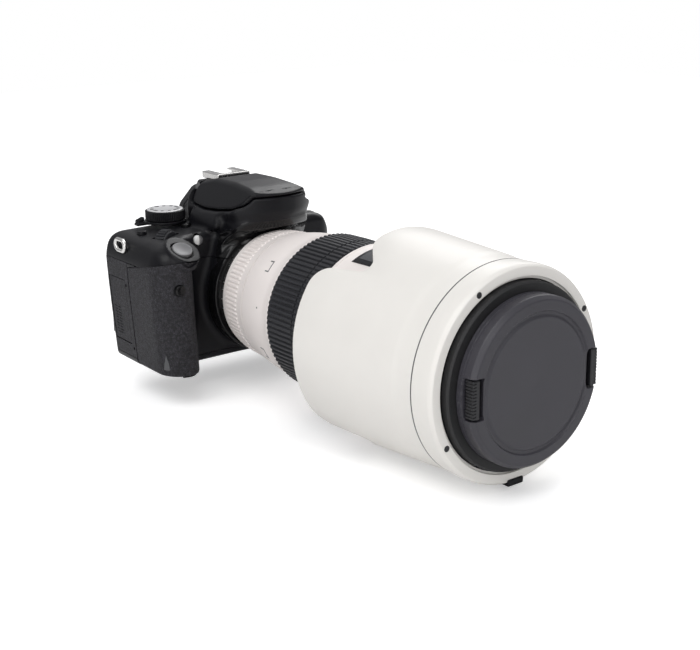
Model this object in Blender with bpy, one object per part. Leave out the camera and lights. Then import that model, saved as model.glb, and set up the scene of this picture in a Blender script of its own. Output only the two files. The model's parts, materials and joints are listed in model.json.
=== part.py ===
"""DSLR camera with a long white zoom lens, a reversed hood and a lens cap.

All sizes are millimetres and are turned into metres when a mesh is made. +Z is up, the lens points
along -Y and the grip is at -X. The origin is on the base plate, below the lens axis, in the film plane.
"""

from math import atan2, ceil, cos, pi, radians, sin, tan

import bmesh
import bpy
from mathutils import Matrix, Vector

MM = 0.001
GAP = 0.3
STEPS = 40

# Body: overall width, depth of the shell and height of the base plate to the flash shoe
BODY_LEFT, BODY_RIGHT = -76.0, 57.0
FRONT_Y, REAR_Y = -28.5, 17.0
GRIP_FRONT_Y, GRIP_INNER_X = -51.0, -52.0
DECK_Z, SHOE_Z, BODY_TOP = 74.5, 96.6, 100.7
BASE_TOP, SPLIT_Z, SPLIT_Y = 4.0, 60.0, -12.0
NOSE_HALF, EYEPIECE_HALF = 31.0, 26.3
WALL = 2.6

# Lens: axis height, mount flange and the front rim of the barrel
AXIS_Z = 38.0
FLANGE_Y, RIM_Y = -44.0, -243.0
RIM_R, FILTER_R = 44.4, 38.2
ZOOM_REAR_Y, ZOOM_FRONT_Y, ZOOM_R = -99.1, -133.2, 42.0
FOCUS_REAR_Y, FOCUS_FRONT_Y, FOCUS_R = -167.0, -214.0, 43.6

# Hood, stowed the wrong way round over the lens
HOOD_FRONT_Y, HOOD_TAPER_Y = -240.2, -227.0
HOOD_R, HOOD_SLOPE, HOOD_WALL = 51.6, 0.0571, 2.2
HOOD_OPENING_R = 44.9
MOST_PETAL_STEP = 8.0

CAP_FACE_Y, CAP_R = -253.0, 39.8

# Hinged and turning pieces
TRIPOD_SOCKET = (0, -14.0, 0)
MIRROR_HINGE = (0, -9.0, 58.0)
FLASH_HINGE = (0, 0.0, 93.5)
MODE_DIAL, MODE_DIAL_R = (-38.5, 8.5), 11.3
MAIN_DIAL, MAIN_DIAL_R, MAIN_DIAL_TURN = (-54.0, -19.5, 68.6), 8.5, radians(28)
SHUTTER_BUTTON, SHUTTER_TILT = (-58.5, -44.6, 70.0), radians(28)
GRIP_LUG, PORT_LUG = (-4.5, 68.6), (-4.5, 66.8)
SCREEN = ((-22.5, 9.9, 6.5), (55.0, 17.0, 59.0))

COLORS = {
    "body_black": ((0.028, 0.028, 0.032), 0.42, 0.0),
    "grip_rubber": ((0.030, 0.030, 0.033), 0.75, 0.0),
    "gloss_black": ((0.012, 0.012, 0.013), 0.15, 0.0),
    "lens_white": ((0.80, 0.765, 0.735), 0.38, 0.0),
    "hood_white": ((0.78, 0.765, 0.725), 0.42, 0.0),
    "ring_rubber": ((0.035, 0.036, 0.042), 0.65, 0.0),
    "cap_grey": ((0.060, 0.060, 0.062), 0.45, 0.0),
    "bright_metal": ((0.80, 0.79, 0.77), 0.22, 1.0),
    "button_grey": ((0.42, 0.42, 0.43), 0.35, 0.3),
    "glass": ((0.05, 0.06, 0.07), 0.05, 0.0),
    "lamp_clear": ((0.85, 0.85, 0.84), 0.1, 0.0),
    "inner_plastic": ((0.04, 0.04, 0.04), 0.7, 0.0),
    "circuit_green": ((0.02, 0.12, 0.05), 0.5, 0.0),
    "battery_grey": ((0.09, 0.09, 0.10), 0.5, 0.0),
    "lock_black": ((0.02, 0.02, 0.02), 0.4, 0.0),
}


def clear_scene():
    for obj in list(bpy.data.objects):
        bpy.data.objects.remove(obj)


def material(name):
    found = bpy.data.materials.get(name)
    if found:
        return found
    color, roughness, metallic = COLORS[name]
    made = bpy.data.materials.new(name)
    made.use_nodes = True
    shader = made.node_tree.nodes["Principled BSDF"]
    shader.inputs["Base Color"].default_value = (*color, 1)
    shader.inputs["Roughness"].default_value = roughness
    shader.inputs["Metallic"].default_value = metallic
    made.diffuse_color = (*color, 1)
    return made


# ---------------------------------------------------------------- outlines


def filleted(corners, closed=True, step=radians(22.5)):
    """Points of an outline whose corners, (x, y) or (x, y, radius), are rounded with arcs."""
    count = len(corners)
    points = []
    for i, corner in enumerate(corners):
        here = Vector(corner[:2])
        radius = corner[2] if len(corner) > 2 else 0
        ends = not closed and i in (0, count - 1)
        if radius == 0 or ends:
            points.append(here)
            continue
        back = (Vector(corners[i - 1][:2]) - here).normalized()
        ahead = (Vector(corners[(i + 1) % count][:2]) - here).normalized()
        turn = pi - back.angle(ahead)
        if turn < 0.02:
            points.append(here)
            continue
        reach = radius * tan(turn / 2)
        centre = here + (back + ahead).normalized() * (radius / cos(turn / 2))
        start = here + back * reach - centre
        end = here + ahead * reach - centre
        sweep = atan2(start.x * end.y - start.y * end.x, start.dot(end))
        steps = max(1, round(turn / step))
        for k in range(steps + 1):
            points.append(centre + Matrix.Rotation(sweep * k / steps, 2) @ start)
    return points


def inset(corners, depth):
    """The same closed outline, listed anticlockwise, moved inwards, with its radii changed to suit."""
    moved = []
    count = len(corners)
    for i, corner in enumerate(corners):
        here = Vector(corner[:2])
        before = (here - Vector(corners[i - 1][:2])).normalized()
        after = (Vector(corners[(i + 1) % count][:2]) - here).normalized()
        cross = before.x * after.y - before.y * after.x
        normal_a = Vector((-before.y, before.x))
        normal_b = Vector((-after.y, after.x))
        shift = (normal_a + normal_b) * (depth / (1 + normal_a.dot(normal_b)))
        radius = corner[2] if len(corner) > 2 else 0
        if radius:
            radius = max(radius - depth, 0.4) if cross > 0 else radius + depth
        moved.append((here.x + shift.x, here.y + shift.y, radius))
    return moved


PLAN = [
    (BODY_RIGHT, -26.0, 12.0),
    (BODY_RIGHT, REAR_Y, 8.0),
    (-75.0, REAR_Y, 5.0),
    (BODY_LEFT, GRIP_FRONT_Y, 11.0),
    (GRIP_INNER_X, GRIP_FRONT_Y, 8.0),
    (-45.0, FRONT_Y, 6.0),
]

DECK_SIDE = [
    (-53.0, 65.4, 4.0),
    (-40.0, 72.6, 12.0),
    (-24.0, DECK_Z),
    (12.0, DECK_Z, 5.0),
    (REAR_Y + 1.2, 69.0, 4.0),
]

HUMP_SIDE = [
    (-39.5, 78.6, 3.0),
    (-53.0, 82.0, 3.0),
    (-57.0, 90.0, 4.0),
    (-56.8, 94.1),
    (-51.2, 93.7),
    (-48.9, 89.8),
    (-41.4, 86.6),
    (-28.2, 84.7),
    (-15.0, 83.9),
    (-8.0, 84.4),
    (-8.0, SHOE_Z),
    (11.0, SHOE_Z, 3.0),
    (REAR_Y + 0.4, 92.0, 3.0),
]

# Side walls of the hump behind the flash, as the corners of what is cut away
REAR_FLANK = [(26.3, 40), (26.3, 78.5), (22.5, 82), (17.5, 89), (14.5, 120), (40, 120), (40, 40)]

# Side view of the seats of the flash's arms, beside the shoe
ARM_INNER_X = 12.7
FLASH_SEAT = [(-10.0, 120), (-10.0, 84.6), (0.8, 85.3), (3.7, 90.4), (4.6, 93.5), (4.6, 120)]

# Plan of what is cut from the nose's corners, so that its front is bowed
NOSE_CORNER = [(6, -70), (42, -70), (42, -34), (31.0, -39.0), (24.0, -46.0), (15.5, -52.5), (6.0, -56.6)]

SILHOUETTE = [
    (BODY_RIGHT + 4, 61.4),
    (46.0, 77.0, 6.0),
    (31.5, 79.5),
    (25.5, 88.0),
    (19.5, SHOE_Z + 0.4),
    (-19.5, SHOE_Z + 0.4),
    (-25.5, 88.0),
    (-31.5, 79.5),
    (-34.0, 76.5),
    (-68.5, 74.4, 9.0),
    (BODY_LEFT - 4, 60.0),
]


# ---------------------------------------------------------------- solids


def make(name, mesh_data, finish, origin=(0, 0, 0)):
    """An object from a bmesh in millimetres, with its own origin at a point of the assembly."""
    centre = Vector(origin)
    bmesh.ops.recalc_face_normals(mesh_data, faces=mesh_data.faces)
    if mesh_data.calc_volume(signed=True) < 0:
        bmesh.ops.reverse_faces(mesh_data, faces=mesh_data.faces)
    bmesh.ops.translate(mesh_data, verts=mesh_data.verts, vec=-centre)
    bmesh.ops.scale(mesh_data, verts=mesh_data.verts, vec=(MM, MM, MM))
    mesh = bpy.data.meshes.new(name)
    mesh_data.to_mesh(mesh)
    mesh_data.free()
    mesh.shade_smooth()
    mesh.set_sharp_from_angle(angle=radians(35))
    obj = bpy.data.objects.new(name, mesh)
    obj.location = centre * MM
    bpy.context.collection.objects.link(obj)
    if finish:
        mesh.materials.append(material(finish))
    return obj


def helper(name, mesh_data):
    """A hidden solid that only shapes others."""
    obj = make(name, mesh_data, None)
    obj.hide_render = True
    obj.display_type = "WIRE"
    return obj


def combine(obj, other, operation):
    modifier = obj.modifiers.new(operation.lower(), "BOOLEAN")
    modifier.object = other
    modifier.operation = operation
    modifier.solver = "EXACT"


def cut(obj, *solids):
    for number, solid in enumerate(solids):
        cutter = helper(f"{obj.name}_cut_{len(obj.modifiers)}_{number}", solid)
        combine(obj, cutter, "DIFFERENCE")


def skin(rings, closed_ring=True, closed_loop=False):
    """Faces between rings of equal length; the ends are capped unless the rings close on themselves."""
    solid = bmesh.new()
    rows = [[solid.verts.new(point) for point in ring] for ring in rings]
    count = len(rows[0])
    pairs = list(zip(rows, rows[1:] + rows[:1])) if closed_loop else list(zip(rows, rows[1:]))
    for first, second in pairs:
        for k in range(count if closed_ring else count - 1):
            after = (k + 1) % count
            solid.faces.new((first[k], first[after], second[after], second[k]))
    if not closed_loop:
        solid.faces.new(rows[0])
        solid.faces.new(rows[-1])
    return solid


def prism(outline, axis, low, high):
    """An outline swept along an axis: X sweeps (y, z), Y sweeps (x, z) and Z sweeps (x, y)."""
    place = {
        "X": lambda p, t: (t, p[0], p[1]),
        "Y": lambda p, t: (p[0], t, p[1]),
        "Z": lambda p, t: (p[0], p[1], t),
    }[axis]
    return skin([[place(p, t) for p in outline] for t in (low, high)])


def box(low, high):
    outline = [(low[0], low[1]), (high[0], low[1]), (high[0], high[1]), (low[0], high[1])]
    return prism(outline, "Z", low[2], high[2])


def rounded_box(low, high, axis, radius):
    """A box with four rounded edges along an axis."""
    a, b = {"X": (1, 2), "Y": (0, 2), "Z": (0, 1)}[axis]
    c = 3 - a - b
    corners = [
        (low[a], low[b], radius),
        (high[a], low[b], radius),
        (high[a], high[b], radius),
        (low[a], high[b], radius),
    ]
    return prism(filleted(corners, step=radians(30)), axis, low[c], high[c])


def turned(profile, centre=(0, 0, AXIS_Z), axis=(0, -1, 0), steps=STEPS):
    """A closed profile of (radius, height) points turned about an axis; height runs along the axis."""
    direction = Vector(axis).normalized()
    across = direction.orthogonal().normalized()
    up = direction.cross(across)
    solid = bmesh.new()
    rows = []
    for radius, height in profile:
        base = Vector(centre) + direction * height
        if radius < 1e-6:
            rows.append([solid.verts.new(base)])
            continue
        angles = [2 * pi * k / steps for k in range(steps)]
        rows.append([solid.verts.new(base + (across * cos(t) + up * sin(t)) * radius) for t in angles])
    for first, second in zip(rows, rows[1:] + rows[:1]):
        if len(first) == 1 and len(second) == 1:
            continue
        for k in range(steps):
            after = (k + 1) % steps
            corners = [first[k % len(first)], first[after % len(first)]]
            corners += [second[after % len(second)], second[k % len(second)]]
            solid.faces.new(list(dict.fromkeys(corners)))
    return solid


def disc(centre, axis, radius, low, high, chamfer=0.0, steps=24):
    """A drum from low to high along an axis through a point, with its outer end chamfered."""
    profile = [(0, low), (radius, low), (radius, high - chamfer), (radius - chamfer, high), (0, high)]
    if chamfer == 0:
        profile.pop(2)
    return turned(profile, centre, axis, steps)


def lens_profile(points):
    """(radius, y) points of a profile on the lens axis, as (radius, height) with height forwards."""
    return [(radius, -y) for radius, y in points]


def polar(radius, angle, y):
    return (radius * cos(angle), y, AXIS_Z + radius * sin(angle))


def sector(inner, outer, low_angle, high_angle, rear, front, steps=8):
    """A piece of a tube round the lens axis between two angles in degrees."""
    rings = []
    for k in range(steps + 1):
        angle = radians(low_angle + (high_angle - low_angle) * k / steps)
        rings.append([
            polar(inner, angle, rear),
            polar(outer, angle, rear),
            polar(outer, angle, front),
            polar(inner, angle, front),
        ])
    return skin(rings)


# ---------------------------------------------------------------- body shells


def closed_below(corners, level):
    """A side outline, listed from its front to its rear, closed straight down to a level."""
    loop = [(corners[0][0], level), (corners[-1][0], level), *reversed(corners)]
    return loop


def upper_shape(name, depth, bottom, finish=None):
    """The top cover's outer form, or its hollow when depth is the wall's thickness."""
    low = bottom - 6
    solid = prism(filleted(inset(PLAN, depth)), "Z", low, 90.0)
    shape = make(name, solid, finish) if finish else helper(name, solid)
    deck = filleted(inset(closed_below(DECK_SIDE, low - 3), depth))
    combine(shape, helper(f"{name}_deck", prism(deck, "X", -90, 70)), "INTERSECT")
    side = filleted(inset(closed_below(HUMP_SIDE, low - 4), depth))
    hump = helper(f"{name}_hump", prism(side, "X", depth - NOSE_HALF, NOSE_HALF - depth))
    for sign in (-1, 1):
        side = [(sign * (abs(x) - depth if abs(x) < 40 else 40), z) for x, z in REAR_FLANK]
        ends = sorted((sign * (EYEPIECE_HALF - depth), sign * 40))
        cut(hump, prism(side, "Y", 4.6 - depth, 60), box((ends[0], -5 - depth, low - 20), (ends[1], 60, 130)))
        corner = [(sign * x, y) for x, y, _ in inset(NOSE_CORNER, -depth)]
        cut(hump, prism(corner, "Z", low - 25, 130))
        seat = filleted(inset(FLASH_SEAT, -depth))
        cut(hump, prism(seat, "X", *sorted((sign * (ARM_INNER_X - depth), sign * 40))))
    combine(shape, hump, "UNION")
    outline = [*SILHOUETTE, (BODY_LEFT - 4, bottom - depth), (BODY_RIGHT + 4, bottom - depth)]
    front = filleted(inset(outline, depth))
    combine(shape, helper(f"{name}_front", prism(front, "Y", -95, 65)), "INTERSECT")
    return shape


def top_cover():
    cover = upper_shape("top_cover", 0.0, SPLIT_Z + GAP, "body_black")
    hollow = upper_shape("top_cover_hollow", 2.0, SPLIT_Z - 3.0)
    combine(cover, hollow, "DIFFERENCE")
    eyepiece = rounded_box((-13, 8, 73.5), (13, 22, 88.5), "Y", 3)
    dial_slot = turn_about(box((-8.6, -3.8, -9), (8.6, 3.8, 12)), MAIN_DIAL, MAIN_DIAL_TURN)
    cut(
        cover,
        eyepiece,
        dial_slot,
        lug_box(-90, -66, GRIP_LUG, 0.4),
        lug_box(50, 70, PORT_LUG, 0.4),
    )
    return cover


def lug_box(low_x, high_x, centre, margin):
    """A rounded block round a strap loop's centre, given as (y, z)."""
    half_y, half_z = 6.4 + margin, 4.2 + margin
    low = (low_x, centre[0] - half_y, centre[1] - half_z)
    high = (high_x, centre[0] + half_y, centre[1] + half_z)
    return rounded_box(low, high, "X", 2.5 + margin)


def turn_about(solid, centre, angle):
    """Moves a solid that was made about the origin to a centre, turned about the vertical."""
    bmesh.ops.rotate(solid, verts=solid.verts, cent=(0, 0, 0), matrix=Matrix.Rotation(angle, 3, "Z"))
    bmesh.ops.translate(solid, verts=solid.verts, vec=centre)
    return solid


def front_cover():
    bottom, top = BASE_TOP + GAP, SPLIT_Z - GAP
    cover = make("front_cover", prism(filleted(PLAN), "Z", bottom, top), "body_black")
    surround = [(0, -20), (36, -20), (36, -38.5), (35, -39.5), (0, -39.5)]
    boss = helper("front_cover_boss", turned(lens_profile(surround)))
    combine(boss, helper("front_cover_band", box((-40, -60, bottom), (40, 0, top))), "INTERSECT")
    combine(cover, boss, "UNION")
    cut(
        cover,
        prism(filleted(inset(PLAN, WALL)), "Z", bottom - 1, top + 1),
        box((-90, SPLIT_Y - GAP, -5), (90, 60, 90)),
        turned(lens_profile([(0, 0), (33.2, 0), (33.2, -37.3), (0, -37.3)])),
        turned(lens_profile([(0, -30), (27.5, -30), (27.5, -50), (0, -50)])),
    )
    combine(cover, grip_band("front_cover_rubber_seat", 1.3, -1.0, 6.0, top + 1, -48.0, -18.0), "DIFFERENCE")
    return cover


def grip_band(name, depth, outwards, low, high, inner_x, rear_y, finish=None):
    """The band of rubber round the grip, or the seat for it."""
    solid = prism(filleted(inset(PLAN, outwards)), "Z", low, high)
    band = make(name, solid, finish) if finish else helper(name, solid)
    cut(
        band,
        prism(filleted(inset(PLAN, depth)), "Z", low - 1, high + 1),
        box((inner_x, -60, low - 2), (90, 60, high + 2)),
        box((-90, rear_y, low - 3), (90, 60, high + 3)),
    )
    return band


def grip_rubber():
    band = grip_band("grip_rubber", 1.0, 0.0, 6.3, SPLIT_Z - 2 * GAP, -48.3, -18.3, "grip_rubber")
    cut(band, disc((-64, GRIP_FRONT_Y, 50), (0, -1, 0), 3.4, -3, 3))


def rear_cover():
    bottom, top = BASE_TOP + GAP, SPLIT_Z - GAP
    cover = make("rear_cover", prism(filleted(PLAN), "Z", bottom, top), "body_black")
    hollow = [(-72.6, -60), (52, -60), (52, 7.5), (-25, 7.5), (-25, 14.6), (-68, 14.6, 4), (-72.6, 10, 4)]
    low, high = SCREEN
    screen_pocket = box((low[0] - 0.7, low[1] - GAP, low[2] - GAP), (high[0] + GAP, 30, high[2] + GAP))
    cut(
        cover,
        prism(filleted(hollow), "Z", bottom - 1, top + 1),
        box((-90, -60, -5), (90, SPLIT_Y, 90)),
        screen_pocket,
        box((-90, -7.8, 11.7), (-70, 11.8, 49.3)),
        box((55.2, -7.8, 13.7), (70, 8.7, 52.3)),
    )
    return cover


def bottom_cover():
    plate = make("bottom_cover", prism(filleted(PLAN), "Z", 0, BASE_TOP), "body_black")
    cut(
        plate,
        prism(filleted(inset(PLAN, WALL)), "Z", 1.8, BASE_TOP + 1),
        disc(TRIPOD_SOCKET, (0, 0, 1), 4.4, -2, 5, 0, 20),
        rounded_box((-73.4, -47.4, -2), (-54.6, -11.6, 6), "Z", 2),
    )
    thread_r = 3.2
    insert = turned([(thread_r, 0.6), (6.5, 0.6), (6.5, 12), (thread_r, 12)], TRIPOD_SOCKET, (0, 0, 1), 20)
    combine(plate, helper("bottom_socket", insert), "UNION")


# ---------------------------------------------------------------- works inside the body


def inner_works():
    mirror_box = make("mirror_box", box((-21, -36.8, 17), (21, -4, 62)), "inner_plastic")
    cut(
        mirror_box,
        box((-18, -40, 20), (18, 0, 60.2)),
        box((-15, -33, 50), (15, -8, 70)),
    )
    reach = 26.0
    mirror = box((-15.5, -reach, -1.0), (15.5, 0.0, 0.8))
    bmesh.ops.rotate(mirror, verts=mirror.verts, cent=(0, 0, 0), matrix=Matrix.Rotation(radians(45), 3, "X"))
    bmesh.ops.translate(mirror, verts=mirror.verts, vec=MIRROR_HINGE)
    make("reflex_mirror", mirror, "bright_metal", MIRROR_HINGE)
    shutter = make("shutter_unit", box((-22, -3.6, 18), (22, -1.6, 60)), "inner_plastic")
    cut(shutter, box((-12, -6, 29.5), (12, 2, 46.5)))
    make("image_sensor", box((-16, -1.2, 25), (16, 0.9, 51)), "glass")
    board = filleted([(-20, 8, 2), (48, 8, 2), (48, 56, 2), (-20, 56, 2)])
    make("main_board", prism(board, "Y", 3.0, 4.6), "circuit_green")
    roof = [(-31, 63), (-1, 63), (-1, 76), (-12, 81.2), (-24, 81.2), (-31, 74)]
    make("pentamirror", prism(roof, "X", -14, 14), "gloss_black")
    make("battery", rounded_box((-71.5, -45, 5.0), (-58, -13, 47), "Z", 3), "battery_grey")


# ---------------------------------------------------------------- fixed outer pieces


def mount_and_windows():
    ring = [(26.9, -39.8), (32.6, -39.8), (32.6, -43.2), (31.8, FLANGE_Y), (26.9, FLANGE_Y)]
    make("body_mount", turned(lens_profile(ring)), "bright_metal")
    make("lamp_lens", disc((-38.6, FRONT_Y + 0.4, 70.2), (0, -1, 0), 2.7, -1.2, 1.2, 0.5, 16), "lamp_clear")
    make("remote_window", disc((-64, GRIP_FRONT_Y, 50), (0, -1, 0), 3.0, -0.8, 0.5, 0.3, 16), "gloss_black")
    make("eyepiece_lens", rounded_box((-12.6, 10, 73.9), (12.6, 12.5, 88.1), "Y", 3), "glass")
    rim = rounded_box((-19.8, REAR_Y + 0.4 + GAP, 68.5), (19.8, 26.8, 91.0), "Y", 9)
    cup = make("eyecup", rim, "grip_rubber")
    cut(cup, rounded_box((-12.5, 10, 74.0), (12.5, 30, 88.0), "Y", 4))
    pad = [(-70, REAR_Y + GAP, 1), (-47, REAR_Y + GAP, 1), (-50, 20.5, 4), (-62, 23.6, 5), (-70, 21.5, 3)]
    make("thumb_rest", prism(filleted(pad), "Z", 12, 58), "grip_rubber")


def hot_shoe():
    """The accessory shoe, open to the rear, with its stop at the front."""
    base = SHOE_Z + GAP
    shoe = make("hot_shoe", box((-10.8, -6, base), (10.8, 12, BODY_TOP)), "bright_metal")
    cut(
        shoe,
        box((-9.3, -4.2, base + 0.8), (9.3, 15, BODY_TOP - 1.0)),
        box((-6.3, -4.2, base + 1.4), (6.3, 17, BODY_TOP + 2)),
    )


def strap_lug(name, x, centre):
    """A bright loop for the strap, standing in an opening of the top cover."""
    y, z = centre
    lug = make(name, lug_box(x, x + 2.2, centre, 0), "bright_metal")
    cut(lug, rounded_box((x - 3, y - 4.2, z - 1.0), (x + 5, y + 4.2, z + 2.2), "X", 1.2))


# ---------------------------------------------------------------- controls


def button(name, host, centre, axis, radius, finish="body_black", proud=1.0, depth=2.6):
    """A round button in a hole of its host, standing proud of it along its axis."""
    make(name, disc(centre, axis, radius, -depth, proud, 0.4, 16), finish, centre)
    cut(host, disc(centre, axis, radius + 0.4, -depth - 2, proud + 4, 0, 16))


def deck_controls(top):
    x, y = MODE_DIAL
    centre = (x, y, DECK_Z)
    ring_r, tab_r = MODE_DIAL_R + 0.6, 19.0
    lever = make("power_lever", disc(centre, (0, 0, 1), ring_r, 0.4, 1.9, 0.3, STEPS), "body_black", centre)
    tab = rounded_box((x - tab_r, y - 2.2, DECK_Z + 0.4), (x - 10.0, y + 2.2, DECK_Z + 1.9), "Z", 1)
    fin = rounded_box((x - tab_r + 0.3, y - 1.6, DECK_Z + 1.2), (x - 14.0, y + 1.6, DECK_Z + 5.4), "Y", 1)
    combine(lever, helper("power_lever_tab", tab), "UNION")
    combine(lever, helper("power_lever_fin", fin), "UNION")
    make("mode_dial", disc(centre, (0, 0, 1), MODE_DIAL_R, 2.2, 8.2, 0.5, STEPS), "button_grey", centre)
    dial = [(0, -3.4), (MAIN_DIAL_R, -3.4), (MAIN_DIAL_R, 3.4), (0, 3.4)]
    axis = (-sin(MAIN_DIAL_TURN), cos(MAIN_DIAL_TURN), 0)
    make("main_dial", turned(dial, MAIN_DIAL, axis, 32), "body_black", MAIN_DIAL)
    tilted = (0, -sin(SHUTTER_TILT), cos(SHUTTER_TILT))
    button("shutter_button", top, SHUTTER_BUTTON, tilted, 5.5, "button_grey", 1.6, 3.2)
    button("iso_button", top, (-34.0, -7.0, DECK_Z), (0, 0, 1), 2.6)
    button("display_button", top, (-61.5, -6.0, DECK_Z - 0.4), (0, 0, 1), 2.6)
    button("dioptre_dial", top, (-23.0, REAR_Y - 0.6, 76.0), (0, 1, 0), 2.6, "body_black", 2.4, 1.6)


def rear_controls(top, rear):
    for name, x in (
        ("menu_button", 45.0),
        ("info_button", 34.5),
        ("live_view_button", -28.5),
        ("ae_lock_button", -52.0),
        ("af_point_button", -63.0),
    ):
        button(name, top, (x, REAR_Y, 64.8), (0, 1, 0), 2.9)
    for name, x, z in (
        ("quick_button", -35.5, 53.5),
        ("playback_button", -30.5, 20.0),
        ("erase_button", -40.5, 20.0),
    ):
        button(name, rear, (x, REAR_Y, z), (0, 1, 0), 2.9)
    button("set_button", rear, (-35.5, REAR_Y, 37.0), (0, 1, 0), 4.0)
    key = [(4.8, -1.4), (9.4, -1.4), (9.4, 0.7), (8.8, 1.2), (4.8, 1.2)]
    centre = (-35.5, REAR_Y, 37.0)
    make("cross_key", turned(key, centre, (0, 1, 0), 32), "body_black", centre)
    cut(rear, disc(centre, (0, 1, 0), 9.9, -2.2, 5, 0, 32))


def front_controls(front):
    button("flash_button", front, (40.5, -26.6, 53.5), (0, -1, 0), 3.2)
    button("lens_release_button", front, (43.0, -26.4, 36.0), (0, -1, 0), 5.6, "body_black", 3.6, 3.0)


def doors():
    card = rounded_box((-75.4, -7.5, 12), (-73.4, 11.5, 49), "X", 0.8)
    make("card_door", card, "body_black", (-75.4, 11.5, 30))
    battery = rounded_box((-73.1, -47.1, 0.2), (-54.9, -11.9, 1.8), "Z", 1.8)
    make("battery_door", battery, "body_black", (-54.9, -29.5, 0.2))
    front = rounded_box((55.5, -7.5, 14), (57.0, 0.1, 52), "X", 0.8)
    make("port_cover_front", front, "grip_rubber", (57, -7.5, 33))
    rear = rounded_box((55.5, 0.7, 14), (57.0, 8.4, 52), "X", 0.8)
    make("port_cover_rear", rear, "grip_rubber", (57, 8.4, 33))


def screen():
    low, high = SCREEN
    hinge = (high[0], high[1], (low[2] + high[2]) / 2)
    arm = rounded_box((49.0, low[1], low[2] + 14), (high[0], high[1], high[2] - 14), "Z", 0.6)
    make("lcd_arm", arm, "body_black", hinge)
    panel = make("lcd_panel", rounded_box(low, high, "Y", 2.5), "body_black", hinge)
    cut(panel, box((48.7, low[1] - 1, low[2] + 13.7), (high[0] + 1, high[1] + 1, high[2] - 13.7)))


def flash_head():
    """The pop-up flash: its sides lean in, its underside follows the hump's roof, and its two arms
    reach back beside the shoe to the hinge."""
    side = [
        (-57.0, 94.6), (-55.5, 96.2), (-44, 98.4), (-28, 99.6), (-12, 99.9), (-9, 99.5), (0, 97.6),
        (2.8, 96.4), (4.0, 93.5), (3.2, 90.6), (0.5, 86.0), (-9.0, 85.1), (-15, 84.5), (-28.2, 85.3),
        (-41.2, 87.2), (-48.3, 90.3), (-50.8, 94.3),
    ]
    rings = []
    for sign in (-1, 1):
        rings.append([(sign * (27.0 - 0.8 * (z - 84.2)), y, z) for y, z in side])
    head = make("flash_head", skin(rings), "body_black", FLASH_HINGE)
    for sign in (-1, 1):
        cut(head, prism([(sign * x, y) for x, y in NOSE_CORNER], "Z", 80, 110))
    inner = ARM_INNER_X + GAP
    cut(head, box((-inner, -8.5, 80), (inner, 20, 110)), box((-inner, -14, 79), (inner, 19, 98)))


# ---------------------------------------------------------------- lens


def lens_barrels():
    sleeve_r = ZOOM_R - 4.4
    rear = [
        (31.0, -44.3), (35.8, -46.6), (36.6, -62), (38.0, -68), (40.4, -90), (41.5, ZOOM_REAR_Y + GAP),
        (sleeve_r, ZOOM_REAR_Y + GAP), (sleeve_r, ZOOM_FRONT_Y), (34.0, ZOOM_FRONT_Y), (34.0, -64),
        (27.0, -56), (27.0, -44.3),
    ]
    rear_barrel = make("rear_barrel", turned(lens_profile(rear)), "lens_white")
    cut(rear_barrel, sector(38.0, 48, -24.5, 24.5, -71.6, -96.4))
    make("switch_panel", sector(38.3, 42.6, -24, 24, -72, -96), "body_black")
    zoom = [
        (sleeve_r + GAP, ZOOM_REAR_Y), (ZOOM_R - 0.6, ZOOM_REAR_Y), (ZOOM_R, ZOOM_REAR_Y - 0.6),
        (ZOOM_R + 0.3, ZOOM_FRONT_Y + 0.6), (ZOOM_R - 0.3, ZOOM_FRONT_Y), (sleeve_r + GAP, ZOOM_FRONT_Y),
    ]
    make("zoom_ring", turned(lens_profile(zoom)), "ring_rubber", (0, ZOOM_REAR_Y, AXIS_Z))
    neck_r = FOCUS_R - 5.0
    main = [
        (34.0, ZOOM_FRONT_Y - 2 * GAP), (42.3, ZOOM_FRONT_Y - 2 * GAP), (43.0, ZOOM_FRONT_Y - 1.4),
        (43.4, FOCUS_REAR_Y + GAP), (neck_r, FOCUS_REAR_Y + GAP), (neck_r, FOCUS_FRONT_Y - GAP),
        (43.9, FOCUS_FRONT_Y - GAP), (RIM_R, -222), (RIM_R, RIM_Y + 1), (RIM_R - 1, RIM_Y),
        (FILTER_R, RIM_Y), (FILTER_R, -219), (34.0, -212),
    ]
    barrel = make("main_barrel", turned(lens_profile(main)), "lens_white")
    cut(barrel, sector(40.8, 48, 61, 118, -142.6, -164.4))
    make("distance_window", sector(41.1, 43.2, 61.5, 117.5, -143, -164), "glass")
    focus = [
        (neck_r + GAP, FOCUS_REAR_Y), (FOCUS_R - 0.5, FOCUS_REAR_Y), (FOCUS_R, FOCUS_REAR_Y - 0.5),
        (FOCUS_R, FOCUS_FRONT_Y + 0.5), (FOCUS_R - 0.5, FOCUS_FRONT_Y), (neck_r + GAP, FOCUS_FRONT_Y),
    ]
    make("focus_ring", turned(lens_profile(focus)), "ring_rubber", (0, FOCUS_REAR_Y, AXIS_Z))
    front_glass = [(0, -221.5), (20, -221), (37.8, -220), (37.8, -224), (20, -227), (0, -228.5)]
    make("front_lens", turned(lens_profile(front_glass), steps=32), "glass")
    rear_glass = [(0, -50), (18, -50.5), (26.6, -52), (26.6, -54.5), (0, -54.5)]
    make("rear_lens", turned(lens_profile(rear_glass), steps=32), "glass")


def hood_radius(y):
    return HOOD_R + HOOD_SLOPE * (y - HOOD_TAPER_Y)


def petal_edge():
    """(angle in degrees from the nearest side, y) of a quarter of the rear edge: a long side petal,
    a notch and a short top petal."""
    corners = [(0, -143.5), (44.5, -143.5, 12.0), (50.5, -180.0, 5.0), (69, -160.5, 16.0), (90, -159.0)]
    bends = filleted(corners, closed=False, step=radians(30))
    points = [bends[0]]
    for bend in bends[1:]:
        start = points[-1]
        parts = ceil((bend.x - start.x) / MOST_PETAL_STEP)
        points += [start.lerp(bend, k / parts) for k in range(1, parts + 1)]
    return [(p.x, p.y) for p in points]


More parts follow.
